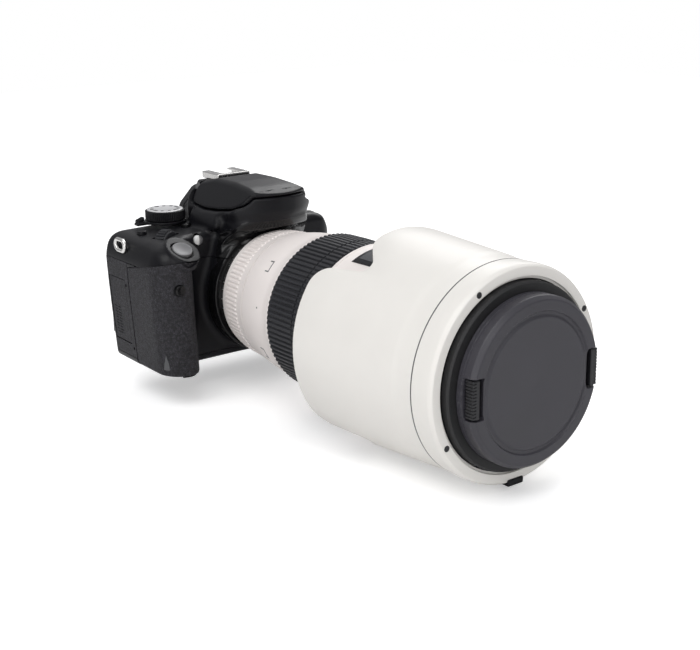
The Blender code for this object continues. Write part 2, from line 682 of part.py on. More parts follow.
def hood():
    quarter = petal_edge()
    half = quarter + [(180 - a, y) for a, y in reversed(quarter[:-1])]
    edge = half + [(a + 180, y) for a, y in half[1:-1]]
    rings = []
    for angle, rear_y in edge:
        turn = radians(angle)
        outline = []
        for share in (0.0, 0.5):
            y = rear_y + (HOOD_TAPER_Y - rear_y) * share
            outline.append((hood_radius(y), y))
        outline += [(HOOD_R, HOOD_TAPER_Y), (HOOD_R - 0.4, -234), (HOOD_R - 2.1, -239), (47.2, HOOD_FRONT_Y)]
        outline += [(HOOD_OPENING_R, HOOD_FRONT_Y), (HOOD_OPENING_R, -233), (HOOD_R - 3.2, -233)]
        for share in (0.0, 0.5, 1.0):
            y = HOOD_TAPER_Y + (rear_y - HOOD_TAPER_Y) * share
            outline.append((hood_radius(y) - HOOD_WALL, y))
        rings.append([polar(radius, turn, y) for radius, y in outline])
    obj = make("hood", skin(rings, closed_loop=True), "hood_white", (0, HOOD_FRONT_Y, AXIS_Z))
    cut(obj, box((-5.4, -245, AXIS_Z - 56), (5.4, -228.6, AXIS_Z - 47.2)))
    lock = rounded_box((-5, -241, AXIS_Z - 52.6), (5, -229, AXIS_Z - 49.2), "Z", 1.2)
    make("hood_lock_button", lock, "lock_black", (0, -235, AXIS_Z - 51))


def lens_cap():
    profile = [
        (0, -240.6), (FILTER_R - 0.4, -240.6), (FILTER_R - 0.4, RIM_Y - GAP), (CAP_R, RIM_Y - GAP),
        (CAP_R, CAP_FACE_Y + 2.2), (CAP_R - 1.6, CAP_FACE_Y), (33.0, CAP_FACE_Y), (32.2, CAP_FACE_Y + 0.8),
        (30.8, CAP_FACE_Y + 0.8), (30.0, CAP_FACE_Y + 0.2), (0, CAP_FACE_Y + 0.9),
    ]
    cap = make("lens_cap", turned(lens_profile(profile)), "cap_grey", (0, CAP_FACE_Y, AXIS_Z))
    for name, side in (("cap_lever_left", -1), ("cap_lever_right", 1)):
        ends = sorted((side * 32.0, side * 50.0))
        cut(cap, box((ends[0], -260, AXIS_Z - 9.4), (ends[1], -247.2, AXIS_Z + 9.4)))
        ends = sorted((side * 34.4, side * 38.6))
        lever = rounded_box((ends[0], -252.7, AXIS_Z - 9), (ends[1], -247.6, AXIS_Z + 9), "Y", 1.2)
        make(name, lever, "cap_grey", (side * 36.5, -250, AXIS_Z))


def build():
    clear_scene()
    top = top_cover()
    front = front_cover()
    rear = rear_cover()
    bottom_cover()
    grip_rubber()
    inner_works()
    mount_and_windows()
    cut(top, disc((-38.6, FRONT_Y, 70.2), (0, -1, 0), 3.1, -5, 5, 0, 16))
    hot_shoe()
    strap_lug("strap_lug_grip_side", -75.6, GRIP_LUG)
    strap_lug("strap_lug_port_side", 54.0, PORT_LUG)
    deck_controls(top)
    rear_controls(top, rear)
    front_controls(front)
    doors()
    screen()
    flash_head()
    lens_barrels()
    hood()
    lens_cap()


build()
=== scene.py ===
"""Looks of the DSLR camera with its long white zoom lens, reversed hood and lens cap.

Sizes are millimetres until a mesh is made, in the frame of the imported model: +Z up, the lens along -Y,
the grip at -X. Shells and moulded pieces are sculpted from distance fields, so that their edges are
rounded and their seams crisp; round pieces are turned from profiles.
"""

import json
from functools import reduce
from math import atan2, cos, pi, radians, sin, tan

import bmesh
import bpy
import numpy as np
from mathutils import Matrix, Vector


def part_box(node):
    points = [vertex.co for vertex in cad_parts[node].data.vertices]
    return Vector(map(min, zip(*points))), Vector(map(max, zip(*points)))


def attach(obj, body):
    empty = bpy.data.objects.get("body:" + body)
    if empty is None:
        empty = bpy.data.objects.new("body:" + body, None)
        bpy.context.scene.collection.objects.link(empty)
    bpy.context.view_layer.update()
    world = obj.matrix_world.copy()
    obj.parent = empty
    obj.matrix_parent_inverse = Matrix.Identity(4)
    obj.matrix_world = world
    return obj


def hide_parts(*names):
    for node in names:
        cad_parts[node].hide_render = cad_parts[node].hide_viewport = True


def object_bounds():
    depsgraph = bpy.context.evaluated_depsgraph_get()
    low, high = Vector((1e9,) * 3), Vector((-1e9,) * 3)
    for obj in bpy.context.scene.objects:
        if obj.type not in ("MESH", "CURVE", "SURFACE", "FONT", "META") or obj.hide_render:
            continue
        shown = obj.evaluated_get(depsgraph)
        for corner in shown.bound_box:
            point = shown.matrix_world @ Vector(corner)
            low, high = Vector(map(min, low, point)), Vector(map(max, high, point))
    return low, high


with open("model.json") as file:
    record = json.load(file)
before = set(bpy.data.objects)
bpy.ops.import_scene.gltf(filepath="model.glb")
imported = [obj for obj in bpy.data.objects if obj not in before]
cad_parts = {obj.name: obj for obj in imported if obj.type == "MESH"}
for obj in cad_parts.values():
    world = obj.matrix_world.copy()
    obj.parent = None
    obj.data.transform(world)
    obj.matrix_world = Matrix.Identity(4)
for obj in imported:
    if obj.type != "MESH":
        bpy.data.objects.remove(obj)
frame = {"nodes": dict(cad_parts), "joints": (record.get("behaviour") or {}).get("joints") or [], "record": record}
cad_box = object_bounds()

MM = 0.001
SEAM = 0.35
RECORD = frame["record"]
JOINTS = {joint["child"]: joint for joint in frame["joints"]}
BODY_OF = {node: body for body, nodes in RECORD["behaviour"]["bodies"].items() for node in nodes}
SLOT_OF = {part["node"]: part["material_slot"] for part in RECORD["subparts"]}


def span(node):
    """A CAD node's lowest and highest corners, in millimetres."""
    low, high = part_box(node)
    return np.array(low) / MM, np.array(high) / MM


def centre_of(node):
    low, high = span(node)
    return (low + high) / 2


# Driving dimensions, read from the frame
LEFT, GRIP_FRONT = span("grip_rubber")[0][:2]
RIGHT = span("front_cover")[1][0]
REAR = span("rear_cover")[1][1]
FRONT = LEFT + 47.5
BASE_TOP = span("bottom_cover")[0][2] + 4.0
SPLIT = span("front_cover")[1][2] + 0.3
MIDDLE_SEAM = -12.0
SHOE_Z = span("hot_shoe")[0][2] - 0.3
AXIS_Z = float(centre_of("zoom_ring")[2])
ZOOM_REAR, ZOOM_FRONT = span("zoom_ring")[1][1], span("zoom_ring")[0][1]
FOCUS_REAR, FOCUS_FRONT = span("focus_ring")[1][1], span("focus_ring")[0][1]
RIM = span("main_barrel")[0][1]
FLANGE = span("body_mount")[0][1]
HOOD_FRONT = span("hood")[0][1]
CAP_FACE = span("lens_cap")[0][1]
DECK = span("power_lever")[0][2] - 0.4

WALL = 2.6
TOP_WALL = 2.2
LEATHER_DEPTH = 1.3


# ---------------------------------------------------------------- nodes of materials and the world


class Tree:
    """The nodes of a material or a world, added and linked in one call each."""

    def __init__(self, owner):
        owner.use_nodes = True
        self.owner = owner
        self.nodes, self.links = owner.node_tree.nodes, owner.node_tree.links
        self.places = self.add("ShaderNodeTexCoord").outputs
        self.place = self.places["Object"]

    def add(self, kind, operation=None, **inputs):
        made = self.nodes.new(kind)
        if operation:
            made.operation = operation
        for name, value in inputs.items():
            self.feed(made.inputs[name.replace("_", " ")], value)
        return made

    def feed(self, socket, value):
        if isinstance(value, bpy.types.NodeSocket):
            self.links.new(value, socket)
        else:
            socket.default_value = value

    def noise(self, scale, detail=3.0, roughness=0.55):
        form = dict(Scale=scale, Detail=detail, Roughness=roughness)
        return self.add("ShaderNodeTexNoise", Vector=self.place, **form).outputs["Fac"]

    def math(self, operation, first, second):
        made = self.add("ShaderNodeMath", operation)
        self.feed(made.inputs[0], first)
        self.feed(made.inputs[1], second)
        return made.outputs[0]

    def ramp(self, value, low, high, start=0.0, end=1.0):
        """A number that runs from low to high while value runs from start to end."""
        limits = dict(From_Min=start, From_Max=end, To_Min=low, To_Max=high)
        return self.add("ShaderNodeMapRange", Value=value, **limits).outputs[0]

    def mix(self, share, first, second):
        made = self.nodes.new("ShaderNodeMix")
        made.data_type = "RGBA"
        self.feed(made.inputs[0], share)
        for socket, value in ((made.inputs[6], first), (made.inputs[7], second)):
            self.feed(socket, value if isinstance(value, bpy.types.NodeSocket) else (*value, 1))
        return made.outputs[2]

    def bump(self, height, depth, strength=1.0, **under):
        made = self.add("ShaderNodeBump", Height=height, Distance=depth, Strength=strength, **under)
        return made.outputs[0]

    def set(self, **inputs):
        for name, value in inputs.items():
            if isinstance(value, tuple) and len(value) == 3:
                value = (*value, 1)
            self.feed(self.nodes["Principled BSDF"].inputs[name.replace("_", " ")], value)


# ---------------------------------------------------------------- camera, light and floor

# Each soft light's place, aim and size in metres, and its power in watts
LIGHTS = {
    "key": ((-0.55, -0.35, 0.95), (0, -0.1, 0.05), (0.9, 0.7), 5.4),
    "rim": ((0.7, 0.35, 0.7), (0, -0.08, 0.06), (0.8, 0.5), 4.4),
    "front": ((-0.15, -1.2, 0.55), (0, -0.2, 0.05), (1.0, 0.6), 1.7),
    "low": ((-1.0, -0.75, 0.22), (0, -0.18, 0.03), (0.7, 0.4), 2.3),
}


def photo_camera():
    """The photograph's view: from the grip side, a little above, along the lens."""
    azimuth, elevation, roll = radians(-36.95), radians(16.47), radians(-0.79)
    place = (-0.38361, -0.62537, 0.22244)
    back = Vector((sin(azimuth) * cos(elevation), -cos(azimuth) * cos(elevation), sin(elevation)))
    right = Vector((0, 0, 1)).cross(back).normalized()
    up = back.cross(right)
    x_axis = right * cos(roll) + up * sin(roll)
    y_axis = up * cos(roll) - right * sin(roll)
    view = bpy.data.cameras.new("photo_camera")
    view.lens = 65.0
    view.sensor_width = 36.0
    view.clip_start = 0.01
    holder = bpy.data.objects.new("photo_camera", view)
    turn = Matrix((x_axis, y_axis, back)).transposed().to_4x4()
    holder.matrix_world = Matrix.Translation(place) @ turn
    bpy.context.scene.collection.objects.link(holder)
    bpy.context.scene.camera = holder


def soft_light(name, place, aim, size, power):
    lamp = bpy.data.lights.new(name, "AREA")
    lamp.shape = "RECTANGLE"
    lamp.size, lamp.size_y = size
    lamp.energy = power
    holder = bpy.data.objects.new(name, lamp)
    holder.location = place
    holder.rotation_euler = (Vector(aim) - Vector(place)).to_track_quat("-Z", "Y").to_euler()
    bpy.context.scene.collection.objects.link(holder)


def studio():
    """A white room: the backdrop is plain white, and the light is soft and mostly from above."""
    bpy.context.scene.view_settings.view_transform = "Standard"
    tree = Tree(bpy.data.worlds.new("studio"))
    height = tree.add("ShaderNodeSeparateXYZ", Vector=tree.places["Generated"]).outputs["Z"]
    sky = tree.mix(tree.ramp(height, 0, 1, 0, 0.9), (0.26, 0.26, 0.27), (0.56, 0.56, 0.57))
    lit = tree.nodes["Background"]
    tree.feed(lit.inputs["Color"], sky)
    seen = tree.add("ShaderNodeBackground", Color=(1, 1, 1, 1))
    choice = tree.add("ShaderNodeMixShader", Fac=tree.add("ShaderNodeLightPath").outputs["Is Camera Ray"])
    tree.feed(choice.inputs[1], lit.outputs[0])
    tree.feed(choice.inputs[2], seen.outputs[0])
    tree.feed(tree.nodes["World Output"].inputs["Surface"], choice.outputs[0])
    bpy.context.scene.world = tree.owner
    for name, setting in LIGHTS.items():
        soft_light(name, *setting)


def floor():
    """Pale paper that glows more towards its far edge, so that it meets the white backdrop unseen."""
    low, half = cad_box[0][2], 1.6
    corners = [(x * half, y * half, low) for x, y in ((-1, -1), (1, -1), (1, 1), (-1, 1))]
    mesh = bpy.data.meshes.new("floor")
    mesh.from_pydata(corners, [], [(0, 1, 2, 3)])
    obj = bpy.data.objects.new("floor", mesh)
    bpy.context.scene.collection.objects.link(obj)
    tree = Tree(bpy.data.materials.new("floor_paper"))
    spot = tree.add("ShaderNodeNewGeometry").outputs["Position"]
    away = tree.add("ShaderNodeVectorMath", "LENGTH", Vector=spot).outputs["Value"]
    seen = tree.add("ShaderNodeLightPath").outputs["Is Camera Ray"]
    tree.set(
        Base_Color=(0.93, 0.93, 0.93),
        Roughness=0.9,
        Specular_IOR_Level=0.1,
        Emission_Color=(1, 1, 1),
        Emission_Strength=tree.math("MULTIPLY", seen, tree.ramp(away, 0.38, 0.8, 0.5, 1.2)),
    )
    mesh.materials.append(tree.owner)


# ---------------------------------------------------------------- materials


def toned(color, factor, lift=0.0):
    return tuple(min(1, c * factor + lift) for c in color)


def moulded(name, color, roughness, grain=2600, depth=0.00002, wear=0.0, tone=0.10, specular=0.5, **more):
    """Moulded plastic or paint: a fine grain, slow changes of tone and gloss, and paler edges."""
    tree = Tree(bpy.data.materials.new(name))
    cloud = tree.noise(45)
    shade = tree.mix(tree.ramp(cloud, 0, 1, 0.3, 0.7), toned(color, 1 - tone), toned(color, 1 + tone))
    if wear:
        edge = tree.add("ShaderNodeNewGeometry").outputs["Pointiness"]
        worn = tree.math("MULTIPLY", tree.ramp(edge, 0, 1, 0.53, 0.62), wear)
        shade = tree.mix(worn, shade, toned(color, 2.2, 0.03))
    fine = tree.noise(grain, 2, 0.6)
    uneven = tree.math("ADD", tree.math("MULTIPLY", cloud, 0.6), tree.math("MULTIPLY", fine, 0.4))
    tree.set(
        Base_Color=shade,
        Roughness=tree.ramp(uneven, roughness * 0.85, roughness * 1.15, 0.3, 0.7),
        Specular_IOR_Level=specular,
        Normal=tree.bump(fine, depth),
        **more,
    )
    return tree.owner


def leather(name, color, roughness, pitch=1.0, depth=0.00022):
    """Rubber with a moulded leather grain: rounded cells of about pitch millimetres between furrows that are
    darkened with painted shade.
    """
    tree = Tree(bpy.data.materials.new(name))
    drift = tree.add("ShaderNodeTexNoise", Vector=tree.place, Scale=420.0, Detail=2.0)
    bend = tree.add("ShaderNodeVectorMath", "MULTIPLY_ADD", Vector=drift.outputs["Color"])
    bend.inputs[1].default_value = (0.0009, 0.0009, 0.0009)
    tree.feed(bend.inputs[2], tree.place)
    cells = tree.add("ShaderNodeTexVoronoi", Scale=1000.0 / pitch, Vector=bend.outputs[0])
    cells.feature = "DISTANCE_TO_EDGE"
    height = tree.ramp(cells.outputs["Distance"], 0, 1, 0.02, 0.28)
    fine = tree.noise(5200, 2)
    base = tree.mix(tree.ramp(tree.noise(60), 0, 1, 0.3, 0.7), toned(color, 0.88), color)
    # painted shade: the colour darkens to 0.3 of itself down in the furrows between the cells
    shade = tree.mix(height, toned(color, 0.3), base)
    speck = tree.ramp(tree.noise(650, 2), 0, 1, 0.40, 0.60)
    tree.set(
        Base_Color=tree.mix(speck, toned(color, 0.2), shade),
        Roughness=tree.ramp(fine, roughness * 0.85, roughness * 1.12, 0.3, 0.7),
        Specular_IOR_Level=0.35,
        Normal=tree.bump(height, depth, 0.9, Normal=tree.bump(fine, 0.00002)),
    )
    return tree.owner


def plated(name, color, roughness):
    """Plated metal with the faint lines that polishing leaves."""
    tree = Tree(bpy.data.materials.new(name))
    stretch = tree.add("ShaderNodeMapping", Vector=tree.place, Scale=(1.0, 0.12, 1.0))
    lines = tree.add("ShaderNodeTexNoise", Vector=stretch.outputs[0], Scale=900.0, Detail=3.0, Distortion=0.4)
    lines = lines.outputs["Fac"]
    tree.set(
        Base_Color=tree.mix(tree.noise(180), toned(color, 0.9), color),
        Metallic=1.0,
        Roughness=tree.ramp(lines, roughness * 0.7, roughness * 1.5, 0.3, 0.7),
        Normal=tree.bump(lines, 0.000008),
    )
    return tree.owner


def coated_glass(name, tint):
    """Dark coated glass with a trace of dust on its gloss."""
    tree = Tree(bpy.data.materials.new(name))
    tree.set(
        Base_Color=tree.mix(tree.noise(25, 2), toned(tint, 0.7), tint),
        Roughness=tree.ramp(tree.noise(700, 4), 0.03, 0.09, 0.4, 0.7),
        Specular_IOR_Level=0.6,
        Coat_Weight=1.0,
        Coat_Roughness=0.03,
    )
    return tree.owner


def circuit(name):
    """Green board: darker tracks, and pale pads in rows."""
    tree = Tree(bpy.data.materials.new(name))
    greens = dict(Color1=(0.010, 0.085, 0.035, 1), Color2=(0.014, 0.11, 0.045, 1))
    gaps = (0.03, 0.16, 0.06, 1)
    tracks = tree.add("ShaderNodeTexBrick", Vector=tree.place, Scale=260.0, Mortar=gaps, **greens)
    pads = tree.add("ShaderNodeTexVoronoi", Vector=tree.place, Scale=330.0)
    spot = tree.ramp(pads.outputs["Distance"], 1, 0, 0.16, 0.2)
    tree.set(
        Base_Color=tree.mix(spot, tracks.outputs[0], (0.55, 0.50, 0.35)),
        Roughness=tree.ramp(tree.noise(900), 0.3, 0.5),
        Normal=tree.bump(spot, 0.00008),
    )
    return tree.owner


# Colour, roughness and whatever else sets a moulded finish apart; depths of grain are metres
MOULDED = {
    "body_black": ((0.0052, 0.0052, 0.0068), 0.36, dict(wear=0.04, specular=0.22)),
    "gloss_black": ((0.004, 0.004, 0.0045), 0.14, dict(specular=0.3, grain=900, depth=4e-6)),
    "plain_rubber": ((0.019, 0.019, 0.021), 0.68, dict(grain=3200, depth=3e-5)),
    "ring_rubber": ((0.016, 0.0165, 0.020), 0.55, dict(grain=3200, depth=3e-5)),
    "lens_white": ((0.850, 0.795, 0.768), 0.34, dict(grain=1500, depth=8e-6, tone=0.012)),
    "hood_white": ((0.770, 0.750, 0.712), 0.42, dict(grain=2200, depth=1.2e-5, tone=0.012)),
    "cap_grey": ((0.0335, 0.032, 0.040), 0.46, dict(grain=2400)),
    "silver_plastic": ((0.17, 0.17, 0.175), 0.34, dict(grain=3000, Metallic=0.4)),
    "dial_silver": ((0.66, 0.66, 0.67), 0.36, dict(grain=3000, Metallic=0.25)),
    "plain_black": ((0.010, 0.010, 0.012), 0.35, dict(specular=0.4)),
    "lamp_clear": ((0.72, 0.72, 0.71), 0.12, dict(grain=600, depth=4e-5)),
    "inner_plastic": ((0.009, 0.009, 0.010), 0.6, dict(depth=5e-5)),
    "battery_grey": ((0.055, 0.056, 0.060), 0.5, dict(wear=0.2)),
    "mark_grey": ((0.13, 0.13, 0.135), 0.5, {}),
    "mark_red": ((0.55, 0.012, 0.012), 0.4, {}),
}
FINISH = {name: moulded(name, color, roughness, **more) for name, (color, roughness, more) in MOULDED.items()}
FINISH["grip_rubber"] = leather("grip_rubber", (0.044, 0.042, 0.052), 0.60)
FINISH["bright_metal"] = plated("bright_metal", (0.82, 0.81, 0.79), 0.20)
FINISH["mirror_glass"] = plated("mirror_glass", (0.86, 0.87, 0.88), 0.04)
FINISH["glass"] = coated_glass("glass", (0.012, 0.014, 0.020))
FINISH["circuit_board"] = circuit("circuit_board")


# ---------------------------------------------------------------- making pieces


def put(name, points, faces, node, finish=None, slot=None, extra=False, crease=32, paint=None):
    """A piece from points in millimetres. It rides on the node's body and stands for the node, unless
    it is an extra. Its finish is the one named by the slot given or else by the record's slot for the node, unless
    a finish is given."""
    mesh = bpy.data.meshes.new(name)
    mesh.from_pydata(np.asarray(points, float) * MM, [], faces)
    work = bmesh.new()
    work.from_mesh(mesh)
    bmesh.ops.remove_doubles(work, verts=work.verts, dist=1e-7)
    bmesh.ops.recalc_face_normals(work, faces=work.faces)
    if work.calc_volume(signed=True) < 0:
        bmesh.ops.reverse_faces(work, faces=work.faces)
    work.to_mesh(mesh)
    work.free()
    slot = slot or SLOT_OF[node]
    finish = finish or slot
    for each in [finish] if isinstance(finish, str) else finish:
        mesh.materials.append(FINISH[each])
    if paint is not None:
        middles = np.empty(len(mesh.polygons) * 3)
        mesh.polygons.foreach_get("center", middles)
        index = paint(*(middles.reshape(-1, 3) / MM).T).astype(np.int32)
        mesh.polygons.foreach_set("material_index", index)
    mesh.shade_smooth()
    mesh.set_sharp_from_angle(angle=radians(crease))
    obj = bpy.data.objects.new(name, mesh)
    bpy.context.scene.collection.objects.link(obj)
    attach(obj, BODY_OF[node])
    if not extra:
        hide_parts(node)


def filleted(corners, closed=True, step=radians(12)):
    """Points of an outline whose corners, (x, y) or (x, y, radius), are rounded with arcs."""
    count = len(corners)
    points = []
    for i, corner in enumerate(corners):
        here = Vector(corner[:2])
        radius = corner[2] if len(corner) > 2 else 0
        if radius == 0 or (not closed and i in (0, count - 1)):
            points.append(here)
            continue
        back = (Vector(corners[i - 1][:2]) - here).normalized()
        ahead = (Vector(corners[(i + 1) % count][:2]) - here).normalized()
        turn = pi - back.angle(ahead)
        if turn < 0.02:
            points.append(here)
            continue
        reach = radius * tan(turn / 2)
        centre = here + (back + ahead).normalized() * (radius / cos(turn / 2))
        start = here + back * reach - centre
        end = here + ahead * reach - centre
        sweep = atan2(start.x * end.y - start.y * end.x, start.dot(end))
        steps = max(1, round(turn / step))
        for k in range(steps + 1):
            points.append(centre + Matrix.Rotation(sweep * k / steps, 2) @ start)
    return [(p.x, p.y) for p in points]


# ---------------------------------------------------------------- turned pieces


def about(centre, axis, first=None):
    """Places (radius, angle, height) about an axis; heights run along it."""
    along = Vector(axis).normalized()
    across = Vector(first).normalized() if first else along.orthogonal().normalized()
    up = along.cross(across)
    centre, along, across, up = (np.array(v) for v in (centre, along, across, up))

    def place(radius, angle, height):
        radius, angle, height = np.broadcast_arrays(radius, angle, height)
        ring = np.cos(angle)[..., None] * across + np.sin(angle)[..., None] * up
        return centre + radius[..., None] * ring + height[..., None] * along

    return place


# Angles about the lens run from +X over the top, and heights are y
def lens(radius, angle, y):
    radius, angle, y = np.broadcast_arrays(radius, angle, y)
    return np.stack([radius * np.cos(angle), y, AXIS_Z + radius * np.sin(angle)], -1)


def grid_faces(rows, columns, around=True):
    """Quads between the rows of a closed section; the columns close on themselves too if it goes around."""
    faces = []
    for i in range(rows):
        here, below = i * columns, (i + 1) % rows * columns
        for k in range(columns if around else columns - 1):
            after = (k + 1) % columns
            faces.append((here + k, here + after, below + after, below + k))
    return faces


def lathe(name, profile, node, columns=160, place=lens, ribs=None, **more):
    """A closed profile of (radius, height) points turned about an axis. A row with a third value is
    raised by that much times ribs(angle)."""
    angle = np.arange(columns) * 2 * pi / columns
    wave = ribs(angle) if ribs else np.zeros(columns)
    rows = [(p[0] + (p[2] if len(p) > 2 else 0) * wave, p[1]) for p in profile]
    points = np.concatenate([place(radius, angle, height) for radius, height in rows])
    return put(name, points, grid_faces(len(rows), columns), node, **more)


def bars(count, share, slope):
    """A wave of count raised bars in a turn, each filling that share of its pitch, with sloping flanks."""

    def wave(angle):
        phase = np.abs(((angle * count / (2 * pi)) % 1) - 0.5) * 2
        return np.clip((share + slope / 2 - phase) / slope, 0, 1)

    return wave


def band(name, section, angles, node, place=lens, **more):
    """A closed section of (radius, height) points swept along angles, with flat ends."""
    count, columns = len(section), len(angles)
    points = np.concatenate([place(np.full(columns, r), angles, h) for r, h in section])
    faces = grid_faces(count, columns, around=False)
    faces += [[i * columns + k for i in range(count)] for k in (0, columns - 1)]
    return put(name, points, faces, node, **more)


def strip(name, rows, angles, node, thick=0.5, **more):
    """A curved patch of the lens: rows of (radius, y) along angles, with thickness inwards."""
    return band(name, rows + [(r - thick, y) for r, y in reversed(rows)], angles, node, **more)


# ---------------------------------------------------------------- distance fields


class Outline:
    """Signed distance to a closed outline of (u, v) or (u, v, radius) corners, read off a fine grid."""

    STEP, MARGIN = 0.25, 12.0

    def __init__(self, corners):
        points = np.array(filleted(corners, step=radians(3)))
        self.low = points.min(0) - self.MARGIN
        count = np.ceil((points.max(0) + self.MARGIN - self.low) / self.STEP).astype(int) + 1
        u = self.low[0] + np.arange(count[0])[:, None] * self.STEP
        v = self.low[1] + np.arange(count[1])[None, :] * self.STEP
        nearest = np.full(tuple(count), 1e9)
        inside = np.zeros(tuple(count), bool)
        for (ax, ay), (bx, by) in zip(points, np.roll(points, -1, 0)):
            ex, ey = bx - ax, by - ay
            if ex * ex + ey * ey < 1e-12:
                continue
            share = np.clip(((u - ax) * ex + (v - ay) * ey) / (ex * ex + ey * ey), 0, 1)
            nearest = np.minimum(nearest, (u - ax - ex * share) ** 2 + (v - ay - ey * share) ** 2)
            if ay != by:
                crossing = ax + (v - ay) / (by - ay) * ex
                inside ^= ((ay <= v) != (by <= v)) & (u < crossing)
        self.table = np.sqrt(nearest) * np.where(inside, -1, 1)

    def __call__(self, u, v):
        u, v = np.broadcast_arrays(u, v)
        most = np.array(self.table.shape) - 1.001
        fu = np.clip((u - self.low[0]) / self.STEP, 0, most[0])
        fv = np.clip((v - self.low[1]) / self.STEP, 0, most[1])
        i, j = fu.astype(int), fv.astype(int)
        fu, fv = fu - i, fv - j
        table = self.table
        low = table[i, j] * (1 - fv) + table[i, j + 1] * fv
        high = table[i + 1, j] * (1 - fv) + table[i + 1, j + 1] * fv
        return low * (1 - fu) + high * fu


def common(*forms):
    """The space in all of several forms, with sharp edges."""
    return reduce(np.maximum, forms)


def meet(a, b, r=0.0):
    """The space in both, its new edge rounded by r."""
    if r == 0:
        return np.maximum(a, b)
    return np.minimum(-r, np.maximum(a, b)) + np.hypot(np.maximum(a + r, 0), np.maximum(b + r, 0))


def join(a, b, r=0.0):
    """The space in either, its new inner corner filled by r."""
    return -meet(-a, -b, r)


def carve(a, b, r=0.0):
    """The space in a but not in b."""
    return meet(a, -b, r)


def drilled(solid, p, holes, r):
    for hole in holes:
        solid = carve(solid, hole(p), r)
    return solid


def engraved(solid, mark, depth):
    """A solid with a mark cut that deep into its surface."""
    return carve(solid, common(mark, -(solid + depth)))


def between(value, low, high):
    return np.abs(value - (low + high) / 2) - (high - low) / 2


def stripes(value, pitch, half):
    """Even stripes, reaching that far to each side of their middles."""
    return np.abs(value % pitch - pitch / 2) - half


def block(p, low, high, r=0.0):
    """A box with rounded edges."""
    reach = [between(value, a, b) + r for value, a, b in zip(p, low, high)]
    x, y, z = (np.maximum(q, 0) for q in reach)
    return np.sqrt(x * x + y * y + z * z) + np.minimum(common(*reach), 0) - r


def rod(p, centre, axis, radius, low, high, r=0.0, squeeze=1.0):
    """A round rod from low to high along an axis through a centre."""
    along = np.array(axis) / np.linalg.norm(axis)
    x, y, z = (value - c for value, c in zip(p, centre))
    height = x * along[0] + y * along[1] + z * along[2]
    dx, dy, dz = x - height * along[0], y - height * along[1], z - height * along[2]
    away = np.sqrt((dx * squeeze) ** 2 + dy * dy + dz * dz)
    return meet(meet(away - radius, height - high, r), low - height, r)


def shell(d, wall):
    return np.maximum(d, -(d + wall))


# The grid round a piece: its margin in cells, and a shift that keeps it off the piece's flat faces
PADDING, GRID_SHIFT = 1.6, 0.013
# The step that measures a surface's slope, and how flat an edge may be and still be kept sharp
NORMAL_STEP, FLATTEST = 0.06, 0.08


def crossings(value, axis, form, axes):
    """Where the grid's edges along one axis cross the surface: their starts, points, normals, and
    whether each start is inside."""
    inside = value < 0
    count = value.shape[axis]
    first = np.take(inside, range(count - 1), axis)
    second = np.take(inside, range(1, count), axis)
    start = np.argwhere(first != second)
    end = start.copy()
    end[:, axis] += 1
    a, b = (np.stack([axes[k][s[:, k]] for k in range(3)], -1) for s in (start, end))
    near, far = value[tuple(start.T)], value[tuple(end.T)]
    low, high = np.zeros(len(start)), np.ones(len(start))
    begins = near < 0
    for _ in range(4):
        share = low + (high - low) * np.clip(near / (near - far), 0.05, 0.95)
        found = form(*(a + (b - a) * share[:, None]).T)
        same = (found < 0) == begins
        low, near = np.where(same, share, low), np.where(same, found, near)
        high, far = np.where(same, high, share), np.where(same, far, found)
    share = low + (high - low) * near / (near - far)
    points = a + (b - a) * share[:, None]
    normals = np.empty_like(points)
    for k in range(3):
        shift = np.zeros(3)
        shift[k] = NORMAL_STEP
        normals[:, k] = form(*(points + shift).T) - form(*(points - shift).T)
    normals /= np.maximum(np.linalg.norm(normals, axis=1), 1e-9)[:, None]
    return start, points, normals, begins


def contour(form, low, high, cell):
    """Points and quads of the surface where form is zero. Each grid cell that the surface crosses gets
    one point, where the surface's tangent planes there meet best, so sharp edges stay sharp."""
    pad = PADDING * cell
    axes = [np.arange(a - pad + GRID_SHIFT, b + pad + cell, cell) for a, b in zip(low, high)]
    x, y, z = np.meshgrid(*axes, indexing="ij", sparse=True)
    shape = tuple(len(a) for a in axes)
    value = np.broadcast_to(form(x, y, z), shape).astype(float)
    strides = np.array([shape[1] * shape[2], shape[2], 1])
    cells, planes, spots, quads = [], [], [], []
    for axis in range(3):
        start, points, normals, begins = crossings(value, axis, form, axes)
        u, v = np.eye(3, dtype=int)[(axis + 1) % 3], np.eye(3, dtype=int)[(axis + 2) % 3]
        around = [(start - shift) @ strides for shift in (u + v, v, 0 * u, u)]
        for ids in around:
            cells.append(ids)
            planes.append(normals)
            spots.append(points)
        loop = np.stack(around, -1)
        quads.append(np.where(begins[:, None], loop, loop[:, ::-1]))
    cells, planes, spots = np.concatenate(cells), np.concatenate(planes), np.concatenate(spots)
    names, index = np.unique(cells, return_inverse=True)
    total = len(names)
    amount = np.bincount(index, minlength=total)
    middle = np.stack([np.bincount(index, spots[:, k], total) for k in range(3)], -1) / amount[:, None]
    offset = np.einsum("ij,ij->i", planes, spots - middle[index])
    matrix = np.empty((total, 3, 3))
    pull = np.empty((total, 3))
    for i in range(3):
        pull[:, i] = np.bincount(index, planes[:, i] * offset, total)
        for j in range(i, 3):
            matrix[:, i, j] = matrix[:, j, i] = np.bincount(index, planes[:, i] * planes[:, j], total)
    values, vectors = np.linalg.eigh(matrix)
    keep = values > FLATTEST * values[:, 2:3]
    inverse = np.where(keep, 1 / np.where(keep, values, 1), 0)
    moved = np.einsum("nij,nj,nkj,nk->ni", vectors, inverse, vectors, pull)
    corner = np.stack(np.unravel_index(names, shape), -1)
    floor_point = np.array([a[0] for a in axes]) + corner * cell
    points = np.clip(middle + moved, floor_point - 0.1 * cell, floor_point + 1.1 * cell)
    return points, np.searchsorted(names, np.concatenate(quads))


